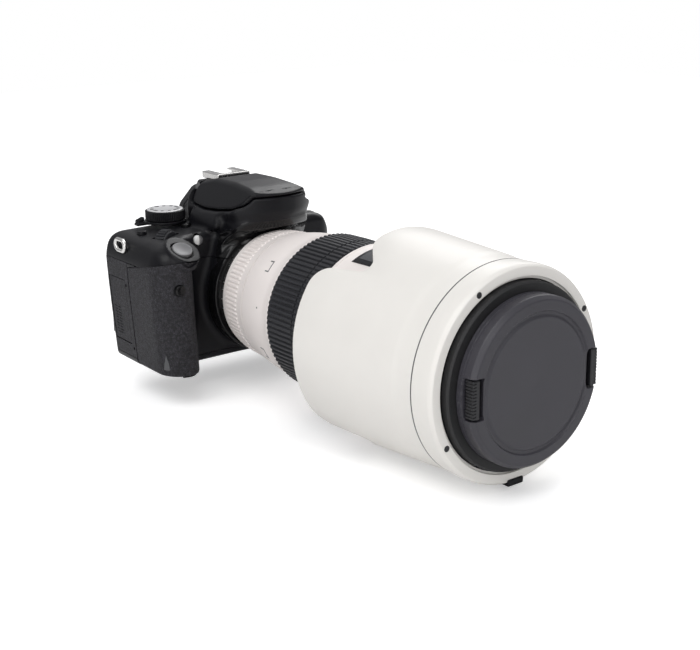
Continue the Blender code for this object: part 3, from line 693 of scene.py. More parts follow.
def sculpt(name, form, node, cell=0.6, box=None, **more):
    """A piece whose solid is the space where form is negative, inside a box or else the node's own."""

    def held(x, y, z):
        return form((x, y, z))

    points, quads = contour(held, *(box or span(node)), cell * (1.0))
    return put(name, points, quads.tolist(), node, **more)


# ---------------------------------------------------------------- the body's form


def mirrored(half):
    """An outline's corners from those of its right half, listed from the foot up."""
    return half + [(-x, *rest) for x, *rest in reversed(half)]


PLAN = Outline([
    (RIGHT, -26.0, 12), (RIGHT, REAR, 8), (LEFT + 1.0, REAR, 5), (LEFT, GRIP_FRONT, 15),
    (-56.0, GRIP_FRONT, 10), (-45.5, FRONT, 7),
])
DECK_SIDE = Outline([
    (-53.0, -30), (REAR + 1.2, -30), (REAR + 1.2, 69.0, 5), (12.0, DECK, 6), (-24.0, DECK, 30),
    (-40.0, 72.6, 20), (-53.0, 65.4, 5),
])
HUMP_SIDE = Outline([
    (-39.5, 40), (REAR + 0.4, 40), (REAR + 0.4, 92.0, 4), (11.0, SHOE_Z, 4), (-8.0, SHOE_Z),
    (-8.0, 84.4), (-15.0, 83.9, 14), (-28.2, 84.7, 30), (-41.4, 86.6, 18), (-48.9, 89.8, 8),
    (-51.2, 93.7, 2), (-57.2, 94.1), (-57.2, 78.0),
])
# The nose's front and underside, as (y at the middle, z); the front is bowed towards its corners
NOSE = Outline([
    (-57.0, 130), (-57.0, 85.0, 8), (-53.4, 76.6, 2), (-39.5, 74.6, 6), (0, 70), (60, 60), (60, 130),
])
# The nose seen from the front: narrow above the mount, wide where the flash sits
NOSE_FRONT = Outline(mirrored([
    (30.0, 40), (28.4, 64, 20), (26.2, 76.0, 20), (25.0, 83.0, 6), (33.0, 89.0, 4), (33.0, 130),
]))
SILHOUETTE = Outline([
    (RIGHT + 4, -30), (RIGHT + 4, 61.4), (46.0, 77.0, 9), (31.5, 79.5, 8), (25.5, 88.0, 20),
    (19.5, SHOE_Z + 0.4, 3), (-19.5, SHOE_Z + 0.4, 3), (-25.5, 88.0, 20), (-31.5, 78.5, 8),
    (-36.0, 76.0, 8), (-68.5, 74.6, 11), (LEFT - 4, 60.0), (LEFT - 4, -30),
])
TOWER = Outline(mirrored([(31.0, 50), (30.2, 59, 20), (28.0, 70.5, 12), (21.0, 80.5, 6)]))
FLASH_SIDE = Outline([
    (-57.2, 94.75), (-50.8, 94.3, 2), (-48.3, 90.3, 8), (-41.2, 87.2, 18), (-28.2, 85.3, 30),
    (-15.0, 84.5, 20), (-4.0, 85.2, 8), (0.8, 86.2, 3), (3.3, 90.4, 6), (4.0, 93.5, 4),
    (2.8, 96.6, 2.4), (-9, 99.5, 12), (-28, 99.7, 40), (-44, 98.4, 40), (-57.2, 96.0),
])
# The space beside the hump behind the flash, as (distance from the middle, height)
REAR_FLANK = Outline([
    (26.3, 40), (26.3, 78.5, 6), (22.5, 82, 6), (17.5, 89, 10), (14.5, 120), (44, 120), (44, 40),
])
# The seats of the flash's two arms, beside the shoe, as (y, z)
FLASH_SEAT = Outline([
    (-10.0, 120), (-10.0, 84.6), (-4.0, 84.8, 8), (1.2, 85.6, 3), (3.9, 90.2, 6), (4.6, 93.5), (4.6, 120),
])
ARM_INNER = 12.7

BOSS_R, BOSS_FRONT = 36.0, -39.5
SHUTTER = np.array([-58.5, -44.6, 70.0])
DIAL_AXIS = (-sin(radians(28)), cos(radians(28)), 0)


def lens_distance(p):
    return np.sqrt(p[0] ** 2 + (p[2] - AXIS_Z) ** 2)


def bowed(x, y):
    """y, moved forwards away from the middle, so that a straight front becomes a bowed one."""
    return y - 0.019 * x * x * np.clip((-y - 15.0) / 25.0, 0, 1)


def outer_form(p):
    """The camera body's outer skin, all shells together."""
    x, y, z = p
    wide = np.abs(x)
    from_lens = lens_distance(p)
    lean = 3.4 * np.clip((58.0 - z) / 58.0, 0, 1.1) ** 1.3
    lower = meet(PLAN(x - lean * np.clip(-x - 30, 0, 40) / 40, y), DECK_SIDE(y, z), 5.0)
    lower = meet(lower, SILHOUETTE(x, z), 5.0)
    leaning = np.interp(z, [62.0, 67.0, 76.0, 84.0], [BOSS_FRONT, -41.0, -50.0, -55.0])
    leaning = (leaning - 0.5 * (bowed(x, y) + y)) * 0.75
    surround = meet(TOWER(x, z), leaning, 1.6)
    surround = carve(surround, common(from_lens - 37.0, y + 43.4), 0.5)
    lower = join(lower, common(surround, y + 5), 3.0)
    boss = meet(from_lens - BOSS_R, BOSS_FRONT - y, 1.0)
    lower = join(lower, common(boss, y + 15), 5.0)
    hump = meet(HUMP_SIDE(y, z), wide - 31.0, 2.0)
    hump = meet(hump, SILHOUETTE(x, z), 1.6)
    hump = meet(hump, NOSE(bowed(x, y), z), 1.6)
    hump = carve(hump, meet(-NOSE_FRONT(x, z), y + 34.0, 3.0), 3.5)
    hump = carve(hump, common(from_lens - 38.6, y + 43.4), 0.5)
    hump = carve(hump, common(26.3 - wide, -5.0 - y), 1.5)
    hump = carve(hump, common(REAR_FLANK(wide + 0.35 * np.maximum(y - 4.6, 0), z), 4.6 - y), 1.6)
    hump = carve(hump, common(FLASH_SEAT(y, z), ARM_INNER - wide), 0.3)
    whole = join(lower, common(hump, 62 - z), 3.0)
    pad = rod(p, SHUTTER + (0.8, 0.6, 0), (0.16, -0.49, 0.86), 10.8, -6, 0.55, 0.8, 1.1)
    return meet(join(whole, pad, 1.5), -z, 3.0)


def flash_form(p):
    """The flash head without its details: leaning sides, and two arms beside the shoe."""
    x, y, z = p
    lean = (np.abs(x) - (27.0 - 0.8 * (z - 84.2))) * 0.78
    solid = meet(FLASH_SIDE(y, z), lean, 2.0)
    solid = meet(solid, (-57.0 - bowed(x, y)) * 0.9, 1.0)
    inner = ARM_INNER + 0.3
    solid = carve(solid, block(p, (-inner, -14.0, 60), (inner, 40, 98.0)), 0.3)
    return carve(solid, block(p, (-inner, -8.5, 60), (inner, 40, 130)), 0.6)


def recess_of_leather(p):
    """The band of leatherette round the grip, as the space that it fills."""
    x, y, z = p
    top_edge = (z - 65.4 + 0.20 * (y + 51)) * 0.98
    return common(x + 49.0, y + 12.1, top_edge, 0.8 - z)


def leather_bed(p, outer):
    """The shallow bed in the body's shells that the leatherette lies in."""
    return common(recess_of_leather(p), -(outer + LEATHER_DEPTH))


# ---------------------------------------------------------------- body shells


def glossy(x, y, z):
    """The surround of the mount, round the lens and up the tower above it, is polished."""
    surround = np.minimum(TOWER(x, z) - 0.6, lens_distance((x, y, z)) - BOSS_R - 0.6)
    return np.where((surround < 0) & (y < -31.5) & (z < 82), 1, 0)


PRESSED = [node for node, joint in JOINTS.items() if joint["type"] == "slide" and node in BODY_OF]
DECK_HOLES = ["shutter_button", "iso_button", "display_button", "dioptre_dial"]
TOP_REAR_BUTTONS = ["menu_button", "info_button", "live_view_button", "ae_lock_button", "af_point_button"]
REAR_BUTTONS = ["quick_button", "playback_button", "erase_button", "set_button"]
FRONT_BUTTONS = ["flash_button", "lens_release_button"]
# How far each strap lug's room reaches past it, to the left and to the right
LUGS = {"strap_lug_grip_side": (-9, 1), "strap_lug_port_side": (-1, 9)}
TWO_BLACKS = ["body_black", "gloss_black"]


def round_shape(node, axis):
    """Centre, outward axis, radius and lowest and highest level of a round CAD piece. The axis is
    turned to point out of the body."""
    mesh = frame["nodes"][node].data
    points = np.array([v.co for v in mesh.vertices]) / MM
    along = np.array(axis, float) / np.linalg.norm(axis)
    if node in PRESSED:
        along = -along
    centre = (points.min(0) + points.max(0)) / 2
    height = (points - centre) @ along
    away = np.linalg.norm(points - centre - height[:, None] * along, axis=1)
    return centre, along, away.max(), height.min(), height.max()


def button_hole(node, margin=SEAM):
    """The hole that a round button or dial sits in."""
    centre, axis, radius, low, high = round_shape(node, JOINTS[BODY_OF[node]]["axis"])

    def hole(p):
        return rod(p, centre, axis, radius + margin, low - 1.2, high + 6)

    return hole


def top_cover():
    holes = [button_hole(node) for node in DECK_HOLES + TOP_REAR_BUTTONS]
    holes.append(button_hole("shutter_button", 1.1))
    dial, lamp = centre_of("main_dial"), centre_of("lamp_lens")
    lugs = [(*span(node), *reach) for node, reach in LUGS.items()]

    def form(p):
        outer = outer_form(p)
        solid = common(shell(outer, TOP_WALL), SPLIT + SEAM / 2 - p[2])
        solid = carve(solid, leather_bed(p, outer))
        solid = carve(solid, common(flash_form(p) - SEAM, 84 - p[2]))
        solid = drilled(solid, p, holes, 0.25)
        solid = carve(solid, rod(p, dial, DIAL_AXIS, 9.3, -4.0, 4.0, 0.4))
        solid = carve(solid, rod(p, lamp, (0, -1, 0), 3.1, -6, 6), 0.3)
        for low, high, left, right in lugs:
            back = block(p, low - (3.5, 3.0, 3.0), high + (3.5, 3.0, 3.0), 3.0)
            solid = join(solid, common(back, outer))
            room = block(p, low + (left, -0.9, -0.9), high + (right, 0.9, 0.9), 4.0)
            solid = carve(solid, room, 0.5)
        return carve(solid, block(p, (-13, 4, 73.5), (13, 30, 88.5), 3), 0.4)

    box = ((LEFT, -58, SPLIT), (RIGHT, REAR + 1, SHOE_Z + 1))
    sculpt("top_cover_skin", form, "top_cover", 0.55, box, finish=TWO_BLACKS, paint=glossy)


def middle_height(z):
    """The space between the seams of the base and of the top."""
    return common(BASE_TOP + SEAM / 2 - z, z - SPLIT + SEAM / 2)


def front_cover():
    holes = [button_hole(node) for node in FRONT_BUTTONS]

    def form(p):
        x, y, z = p
        outer = outer_form(p)
        away = lens_distance(p)
        solid = common(shell(outer, WALL), middle_height(z), y - MIDDLE_SEAM + SEAM / 2)
        solid = carve(solid, leather_bed(p, outer))
        solid = carve(solid, common(away - 27.2, y))
        solid = carve(solid, common(away - 33.2, -37.3 - y))
        return drilled(solid, p, holes, 0.3)

    box = ((LEFT, GRIP_FRONT, BASE_TOP), (RIGHT, MIDDLE_SEAM, SPLIT))
    sculpt("front_cover_skin", form, "front_cover", 0.6, box, finish=TWO_BLACKS, paint=glossy)


def grip_skin():
    around_button = button_hole("shutter_button", 1.1)
    window = centre_of("remote_window")

    def form(p):
        outer = outer_form(p)
        solid = meet(common(outer + 0.1, -(outer + 1.25)), recess_of_leather(p) + SEAM, 0.25)
        solid = carve(solid, around_button(p), 0.2)
        return carve(solid, rod(p, window, (0, -1, 0), 3.3, -4, 4), 0.3)

    sculpt("grip_leatherette", form, "grip_rubber", 0.5, ((LEFT, GRIP_FRONT, 0), (-48, -11, 68)))


def rear_cover():
    holes = [button_hole(node) for node in REAR_BUTTONS]
    screen_low, screen_high = span("lcd_panel")
    card_low, card_high = span("card_door")
    port_low, port_high = span("port_cover_front")[0], span("port_cover_rear")[1]

    def form(p):
        outer = outer_form(p)
        bay_wall = shell(common(outer, block(p, card_low - 3, card_high + (4, 3, 3), 1)), 4.2)
        solid = join(shell(outer, WALL), bay_wall)
        solid = common(solid, middle_height(p[2]), MIDDLE_SEAM + SEAM / 2 - p[1])
        pocket = block(p, screen_low - (1.3, 1.1, 0.9), screen_high + (0.5, 20, 0.4), 1.0)
        pocket_wall = block(p, screen_low - (3.5, 3.3, 3.0), screen_high + (2, -7.5, 2.5), 1.5)
        solid = carve(join(solid, common(pocket_wall, outer)), pocket, 0.3)
        door = block(p, card_low - (6, SEAM, SEAM), card_high + (9, SEAM, SEAM), 0.8)
        solid = carve(solid, common(door, -(outer + 2.0)))
        for y, z, reach in ((-8.6, 46.5, 4), (-9.6, 9.6, 5)):
            solid = carve(solid, rod(p, (LEFT, y, z), (1, 0, 0), 0.9, -4, reach))
        solid = carve(solid, block(p, port_low - 0.4, port_high + (6, 0.4, 0.4), 1.0))
        solid = carve(solid, rod(p, (-35.5, REAR, 37.0), (0, 1, 0), 9.9, -2.4, 6), 0.3)
        return common(drilled(solid, p, holes, 0.25), outer)

    def paint(x, y, z):
        return np.where((x < LEFT + 5) & (y < 13), 1, 0)

    box = ((LEFT, MIDDLE_SEAM, BASE_TOP), (RIGHT, REAR, SPLIT))
    sculpt("rear_cover_skin", form, "rear_cover", 0.6, box, finish=["body_black", "grip_rubber"], paint=paint)


def bottom_cover():
    socket = (0, -14, 0)
    door_low, door_high = span("battery_door")

    def form(p):
        outer = outer_form(p)
        solid = common(outer, -common(outer + WALL, 1.8 - p[2]), p[2] - BASE_TOP + SEAM / 2)
        solid = carve(solid, leather_bed(p, outer))
        solid = join(solid, rod(p, socket, (0, 0, 1), 6.4, 0.6, 11.5, 0.3), 0.5)
        solid = carve(solid, rod(p, socket, (0, 0, 1), 3.2, -2, 20), 0.3)
        return carve(solid, block(p, door_low - (SEAM, SEAM, 4), door_high + (SEAM, SEAM, 6), 2.0))

    sculpt("bottom_cover_skin", form, "bottom_cover", 0.6, ((LEFT, GRIP_FRONT, 0), (RIGHT, REAR, 12)))


def flash_head():
    def form(p):
        x, y, z = p
        solid = carve(flash_form(p), block(p, (-15, -58.5, 89.5), (15, -50.0, 93.0), 1), 0.3)
        seam = np.abs(y + 50.5 + 0.006 * x * x) - 0.18
        return engraved(solid, common(seam, 95 - z), 0.35)

    sculpt("flash_head_skin", form, "flash_head", 0.5)


def eye_rest():
    low, high = span("eyecup")
    half, slope_foot, slope_top = high[0], high[2] - 10.5, high[0] - 10.3
    outline = Outline(mirrored([(half, low[2], 6), (half, slope_foot, 6), (slope_top, high[2], 6)]))

    def form(p):
        x, y, z = p
        rim = outline(x, z)
        solid = meet(rim, between(y, low[1], high[1]), 2.2)
        solid = carve(solid, block(p, (-12.4, low[1] - 5, 74.1), (12.4, high[1] + 6, 87.6), 3.4), 0.8)
        solid = carve(solid, common(rim + 2.0, high[1] - 2.6 - y), 1.0)
        return carve(solid, common(np.abs(y - low[1] - 2.4) - 0.6, -(rim + 0.8)), 0.3)

    sculpt("eyecup_rubber", form, "eyecup", 0.5, finish="plain_rubber")


def thumb_rest():
    low, high = span("thumb_rest")
    outline = Outline([
        (low[0], low[1]), (high[0], low[1]), (-49.5, 19.6, 4), (-57.0, 22.6, 6), (-64.0, high[1], 6),
        (low[0], 21.0, 3),
    ])

    def form(p):
        return meet(outline(p[0], p[1]), between(p[2], low[2], high[2]), 1.2)

    sculpt("thumb_rest_rubber", form, "thumb_rest", 0.5)


# ---------------------------------------------------------------- doors, screen, shoe


def card_door():
    low, high = span("card_door")

    def form(p):
        x, y, z = p
        outer = outer_form(p)
        solid = meet(block(p, low, high + (4, 0, 0), 0.5), outer + 0.15, 0.4)
        solid = common(solid, -(outer + 1.9))
        across = np.abs(y - 5.0)
        patch = common(across - 3.4, np.abs(z - 24.0) - 8.6, -(outer + 0.55))
        return carve(solid, common(patch, stripes(z - low[2], 1.7, 0.3), 0.5 - across))

    sculpt("card_door_skin", form, "card_door", 0.3, (low, high + (3.2, 0, 0)), finish="grip_rubber")


def battery_door():
    low, high = span("battery_door")

    def form(p):
        solid = meet(block(p, low, high, 0.7), outer_form(p) + 1.4, 0.3)
        latch = block(p, (-68, -45.5, -1), (-60, -39.5, low[2] + 0.6), 0.5)
        catch = block(p, (-65.6, -44.6, low[2]), (-62.4, -40.4, 1.4), 0.4)
        return join(carve(solid, latch, 0.2), catch)

    sculpt("battery_door_skin", form, "battery_door", 0.4)


def port_cover(node):
    low, high = span(node)
    middle = centre_of(node)[1]
    nail = ((high[0] - 0.35, middle - 2, high[2] - 5), (high[0] + 2, middle + 2, high[2] - 2.5))

    def form(p):
        return carve(block(p, low, high, 0.7), block(p, *nail, 0.6), 0.2)

    sculpt(f"{node}_skin", form, node, 0.35, finish="plain_rubber")


def screen():
    low, high = span("lcd_panel")
    arm_low, arm_high = span("lcd_arm")
    notch = (arm_low - (0.3, 3, 0.3), arm_high + (3, 3, 0.3))
    view = ((low[0] + 5.0, high[1] - 0.7, low[2] + 4.5), (arm_low[0] - 3.5, high[1] + 4, high[2] - 4.0))
    glass_low = np.array(view[0]) + (0.15, 0, 0.15)
    glass_high = np.array((view[1][0] - 0.15, high[1] - 0.25, view[1][2] - 0.15))
    arm_middle = centre_of("lcd_arm")[2]

    def panel(p):
        solid = carve(block(p, low, high, 1.4), block(p, *notch, 0.4), 0.2)
        back = block(p, (low[0] + 4, low[1] - 3, low[2] + 4), (high[0] - 10, low[1] + 0.4, high[2] - 4), 0.3)
        return carve(carve(solid, block(p, *view, 0.5), 0.2), back, 0.3)

    def glass(p):
        return block(p, glass_low, glass_high, 0.2)

    def arm(p):
        solid = block(p, arm_low, arm_high, 1.2)
        return engraved(solid, np.abs(np.abs(p[2] - arm_middle) - 8) - 0.3, 0.5)

    sculpt("lcd_panel_skin", panel, "lcd_panel", 0.5)
    sculpt("lcd_glass", glass, "lcd_panel", 0.4, (glass_low, glass_high), slot="glass", extra=True)
    sculpt("lcd_arm_skin", arm, "lcd_arm", 0.4)


def hot_shoe():
    low, high = span("hot_shoe")
    slot = ((-9.3, low[1] + 1.8, low[2] + 0.8), (9.3, high[1] + 4, high[2] - 1.0))
    opening = ((-6.3, low[1] + 1.8, low[2] + 1.4), (6.3, high[1] + 6, high[2] + 3))

    def form(p):
        solid = carve(block(p, low, high, 0.5), block(p, *slot))
        solid = carve(solid, block(p, *opening), 0.15)
        for x, y in ((0, 2), (-3.2, -1.5), (3.2, -1.5), (-3.2, 5.5), (3.2, 5.5)):
            contact = rod(p, (x, y, low[2] + 0.8), (0, 0, 1), 1.1, -0.3, 3)
            solid = carve(solid, np.abs(contact) - 0.12)
        return solid

    sculpt("hot_shoe_plate", form, "hot_shoe", 0.3)


def strap_lug(node):
    low, high = span(node)
    thick, tall, wide = (high - low) / 2
    wire = thick * 1.02

    def form(p):
        x, y, z = (value - m for value, m in zip(p, (low + high) / 2))
        path = np.hypot(np.maximum(np.abs(y) - (tall - wide), 0), z) - (wide - wire)
        return np.hypot(path, x) - wire

    sculpt(f"{node}_loop", form, node, 0.3)


# ---------------------------------------------------------------- dials and buttons

DOMED = {"shutter_button": -0.5, "lens_release_button": -0.4, "iso_button": 0.5}


def button(node):
    """A button: flat below, with a rounded shoulder and a slightly domed or hollow top."""
    centre, axis, radius, low, high = round_shape(node, JOINTS[node]["axis"])
    dome = DOMED.get(node, 0)
    shoulder = [(radius, high, 0.45), (radius * 0.55, high + dome * 0.6, radius * 2)]
    profile = filleted([(0, low), (radius, low, 0.1), *shoulder, (0, high + dome)])
    finish = "gloss_black" if node == "iso_button" else None
    lathe(f"{node}_cap", profile, node, 64, about(centre, axis), finish=finish)


def shutter_collar():
    centre, axis, radius, low, high = round_shape("shutter_button", JOINTS["shutter_button"]["axis"])
    inner, outer = radius + 0.2, radius + 1.0
    profile = filleted([(inner, low), (outer, low), (outer, high - 1.5, 0.3), (inner, high - 1.7, 0.2)])
    lathe("shutter_collar", profile, "top_cover", 64, about(centre, axis), slot="gloss_black", extra=True)


def mode_dial():
    low, high = span("mode_dial")
    centre = (low + high) / 2
    radius = (high[0] - low[0]) / 2
    base, top = low[2] - centre[2], high[2] - centre[2]
    place = about(centre, (0, 0, 1), (1, 0, 0))
    profile = [
        (0, base), (radius - 0.6, base), (radius - 0.35, base + 0.3, 0.35), (radius - 0.35, top - 0.9, 0.35),
        (radius - 0.6, top - 0.5), (radius - 1.0, top - 0.45), (radius - 1.1, top - 0.15),
        (radius - 1.5, top), (radius - 2.6, top), (radius - 2.8, top - 0.12), (0, top - 0.12),
    ]

    def paint(x, y, z):
        away = np.hypot(x - centre[0], y - centre[1])
        return np.where((away < radius - 1.05) & (z > high[2] - 0.5), 1, 0)

    lathe("mode_dial_knob", profile, "mode_dial", 320, place, bars(64, 0.5, 0.4),
          finish=["body_black", "dial_silver"], paint=paint)
    marks = 11
    inner, outer, foot, face = radius - 4.6, radius - 2.9, top - 0.18, top + 0.02
    section = [(outer, face), (inner, face), (inner, foot), (outer, foot)]
    for k in range(marks):
        half = 0.10 if k % 3 else 0.17
        angles = 2 * pi * k / marks + np.linspace(-half, half, 4)
        band(f"mode_dial_mark_{k + 1}", section, angles, "mode_dial", place, finish="mark_grey", extra=True)


def power_lever():
    low, high = span("power_lever")
    dial_low, dial_high = span("mode_dial")
    x_mid, y_mid = centre_of("mode_dial")[:2]
    radius = (dial_high[0] - dial_low[0]) / 2 + 0.6

    def form(p):
        x, y, z = p
        ring = rod(p, (x_mid, y_mid, low[2]), (0, 0, 1), radius, 0, 1.5, 0.4)
        tab = block(p, (low[0], y_mid - 2.2, low[2]), (x_mid - 10, y_mid + 2.2, low[2] + 1.5), 0.6)
        slant = (x - low[0]) * 0.35 + low[2] + 3.2 - z
        fin = block(p, (low[0] + 0.3, y_mid - 1.6, low[2] + 0.8), (x_mid - 14, y_mid + 1.6, high[2]), 0.8)
        fin = meet(fin, -slant * 0.94, 0.6)
        fin = engraved(fin, stripes(y - y_mid, 0.9, 0.18), 0.25)
        return join(join(ring, tab, 0.8), fin, 0.5)

    sculpt("power_lever_ring", form, "power_lever", 0.35)


def main_dial():
    centre, axis, radius, low, high = round_shape("main_dial", DIAL_AXIS)
    tread = radius - 0.95
    profile = [
        (0, low), (radius - 1.4, low), (radius - 1.0, low + 0.3), (tread, low + 0.9, 0.0),
        (tread, low + 1.0, 0.9), (tread, high - 1.0, 0.9), (tread, high - 0.9, 0.0),
        (radius - 1.0, high - 0.3), (radius - 1.4, high), (0, high),
    ]
    lathe("main_dial_wheel", profile, "main_dial", 240, about(centre, axis), bars(26, 0.5, 0.4),
          finish="ring_rubber")


def dioptre():
    centre, axis, radius, low, high = round_shape("dioptre_dial", (0, 1, 0))
    side = radius - 0.35
    profile = [(0, low), (side, low), (side, low + 0.3, 0.3), (side, high - 0.5, 0.3)]
    profile += [(radius - 0.8, high), (0, high)]
    lathe("dioptre_knob", profile, "dioptre_dial", 120, about(centre, axis), bars(20, 0.5, 0.3))


def cross_key():
    low, high = span("cross_key")
    x_mid, _, z_mid = centre_of("cross_key")

    def form(p):
        x, y, z = p
        solid = rod(p, (x_mid, 0, z_mid), (0, 1, 0), 9.4, low[1], high[1], 0.6)
        solid = carve(solid, rod(p, (x_mid, 0, z_mid), (0, 1, 0), 4.8, low[1] - 3, high[1] + 3), 0.4)
        dish = np.abs(np.sqrt((x - x_mid) ** 2 + (z - z_mid) ** 2) - 7.0) - 1.6
        return carve(solid, common(dish, high[1] - 0.25 - y), 0.2)

    sculpt("cross_key_ring", form, "cross_key", 0.35)


# ---------------------------------------------------------------- lens


def mount_ring():
    profile = filleted([
        (27.0, -39.9), (32.5, -39.9), (32.5, -43.0, 0.3), (31.8, FLANGE, 0.3), (29.6, FLANGE),
        (29.4, FLANGE + 0.4), (28.6, FLANGE + 0.4), (28.4, FLANGE), (27.0, FLANGE, 0.3),
    ])
    lathe("body_mount_ring", profile, "body_mount", 128)


def rear_barrel():
    """Ribbed grip ring, a thin joint line, then the smooth flare, on one white barrel."""
    sleeve, bore, ribs = 37.6, 34.0, 92
    start = [(31.0, -44.3), (33.6, -44.6), (35.0, -45.6), (35.2, -46.4)]
    ribbed = [
        (35.2, -47.2), (35.4, -49.2), (35.2, -49.6, 0.85), (36.0, -60.8, 0.85), (36.3, -61.2), (36.5, -62.2),
    ]
    flare = filleted([
        (36.9, -66.0), (37.2, -67.4), (36.7, -67.5), (36.7, -67.9), (37.3, -68.0), (39.2, -79, 60),
        (40.4, -90, 60), (41.0, -97.6), (41.5, ZOOM_REAR + 0.6, 0.4), (40.6, ZOOM_REAR + 0.3),
    ], closed=False)
    inner = [(sleeve, ZOOM_REAR + 0.3), (sleeve, ZOOM_FRONT), (bore, ZOOM_FRONT), (bore, -64), (27.0, -56)]
    profile = start + ribbed + flare + inner + [(27.0, -44.3)]
    lathe("rear_barrel_shell", profile, "rear_barrel", ribs * 8, ribs=bars(ribs, 0.5, 0.3))


def rubber_ring(name, node, rear, front, radius, count, gap):
    """A rubber grip of raised bars in two bands, parted by a narrow gap."""
    inner, base, edge = radius - 4.0, radius - 1.0, radius - 1.6
    rows = [(inner, rear), (edge, rear), (radius - 0.9, rear - 0.25)]
    for start, end in ((rear - 0.7, gap + 0.35), (gap - 0.35, front + 0.7)):
        rows += [(base, start), (base, start - 0.15, 0.85), (base, (start + end) / 2, 1.0)]
        rows += [(base, end + 0.15, 0.85), (base, end)]
    rows += [(radius - 0.9, front + 0.25), (edge, front), (inner, front)]
    lathe(name, rows, node, count * 10, ribs=bars(count, 0.62, 0.26))


def main_barrel():
    """The white front barrel with its chamfered rear ring, and the neck under the focus ring."""
    neck, rear = 38.6, ZOOM_FRONT - 0.6
    rows = filleted([
        (34.0, rear), (41.2, rear), (42.3, rear - 0.1, 0.3), (43.0, rear - 1.6, 0.5), (43.0, rear - 3.0),
        (42.7, rear - 3.1), (42.7, rear - 3.4), (43.0, rear - 3.5), (43.4, FOCUS_REAR + 0.9),
        (42.8, FOCUS_REAR + 0.3, 0.3), (neck, FOCUS_REAR + 0.3), (neck, FOCUS_FRONT - 0.3),
        (43.3, FOCUS_FRONT - 0.3, 0.3), (43.9, FOCUS_FRONT - 0.9), (44.4, -222, 3), (44.4, -236.0),
        (44.4, RIM + 0.9, 0.5), (43.5, RIM), (38.9, RIM), (38.2, RIM + 0.7), (38.2, -219), (34.0, -212),
    ])

    def paint(x, y, z):
        inside = (lens_distance((x, y, z)) < 38.4) & (y < -218)
        return np.where((y < -236) | inside, 1, 0)

    lathe("main_barrel_shell", rows, "main_barrel", 192, finish=["lens_white", "inner_plastic"], paint=paint)


def barrel_radius(y):
    """Radius of the rear barrel's flare."""
    return float(np.interp(-y, [68.0, 79.0, 90.0, 99.0], [37.3, 39.2, 40.4, 41.4]))


def distance_window():
    front, rear = span("distance_window")[0][1], span("distance_window")[1][1]
    angles = np.radians(np.linspace(61.8, 117.2, 48))
    rows = [(42.6, rear), (43.45, rear - 0.9), (43.5, -148), (43.5, front + 3.0), (42.9, front)]
    strip("distance_window_bezel", rows, angles, "main_barrel", 2.0, finish="body_black", extra=True)
    angles = np.radians(np.linspace(66, 113, 40))
    strip("distance_window_pane", [(43.6, -146), (43.65, -150), (43.6, -160)], angles, "distance_window", 1.0)


def index_dot(name, at, y, size):
    turn = radians(at)
    place = about(lens(barrel_radius(y), turn, y), lens(1, turn, 0) - (0, 0, AXIS_Z))
    profile = [(0, -0.4), (size / 2, -0.4), (size / 2, 0.08), (0, 0.1)]
    lathe(name, profile, "rear_barrel", 20, place, finish="mark_grey", extra=True)


def bracket(name, at, y):
    """A small grey corner mark, as an index for a collar."""
    reach, line = 3.4, 0.35
    parts = {
        "foot": (-reach, reach, -line, line),
        "left": (-reach, -reach + 2 * line, line, reach),
        "right": (reach - 2 * line, reach, line, reach),
    }
    for part, (left, right, rear, front) in parts.items():
        rows = [(barrel_radius(y + v) + 0.06, y + v) for v in (front, rear)]
        angles = radians(at) + np.linspace(left, right, 8) / barrel_radius(y)
        strip(f"{name}_{part}", rows, angles, "rear_barrel", 0.4, finish="mark_grey", extra=True)


def switch_panel():
    """The switch panel on the barrel's far side, with its sliding switches."""
    low, high = span("switch_panel")
    half = [(41.6, 0.0), (42.4, 0.6), (42.6, 1.2)]
    rows = [(r, high[1] - inset) for r, inset in half] + [(r, low[1] + inset) for r, inset in reversed(half)]
    strip("switch_panel_plate", rows, np.radians(np.linspace(-24, 24, 40)), "switch_panel", 3.2)
    well = [(42.75, -78.5), (42.75, -89.5)]
    slider = [(43.3, -80.4), (43.6, -80.8), (43.6, -83.6), (43.3, -84.0)]
    for number, at in enumerate((-15, -5, 5, 15)):
        for part, rows, reach, thick, finish in (
            ("well", well, 0.05, 0.5, "gloss_black"),
            ("slider", slider, 0.036, 1.0, "silver_plastic"),
        ):
            angles = radians(at) + np.linspace(-reach, reach, 8)
            name = f"switch_{part}_{number + 1}"
            strip(name, rows, angles, "switch_panel", thick, finish=finish, extra=True)


# ---------------------------------------------------------------- hood and cap

HOOD_R, HOOD_TAPER, HOOD_SLOPE, HOOD_WALL = 51.6, -227.0, 0.0571, 2.2
CREASE = HOOD_TAPER + 13.8


def hood_radius(y):
    return HOOD_R + HOOD_SLOPE * (y - HOOD_TAPER)


def petal_edge():
    """(angle in degrees from the nearest side, y) of a quarter of the rear edge: a long side petal,
    a notch and a short top petal."""
    corners = [(0, -143.5), (44.5, -143.5, 12.0), (50.5, -180.0, 5.0), (69, -160.5, 16.0), (90, -159.0)]
    bends = filleted(corners, closed=False, step=radians(8))
    points = [bends[0]]
    for bend in bends[1:]:
        start = np.array(points[-1])
        parts = max(1, int(np.ceil((bend[0] - start[0]) / 2.0)))
        points += [tuple(start + (np.array(bend) - start) * k / parts) for k in range(1, parts + 1)]
    return points


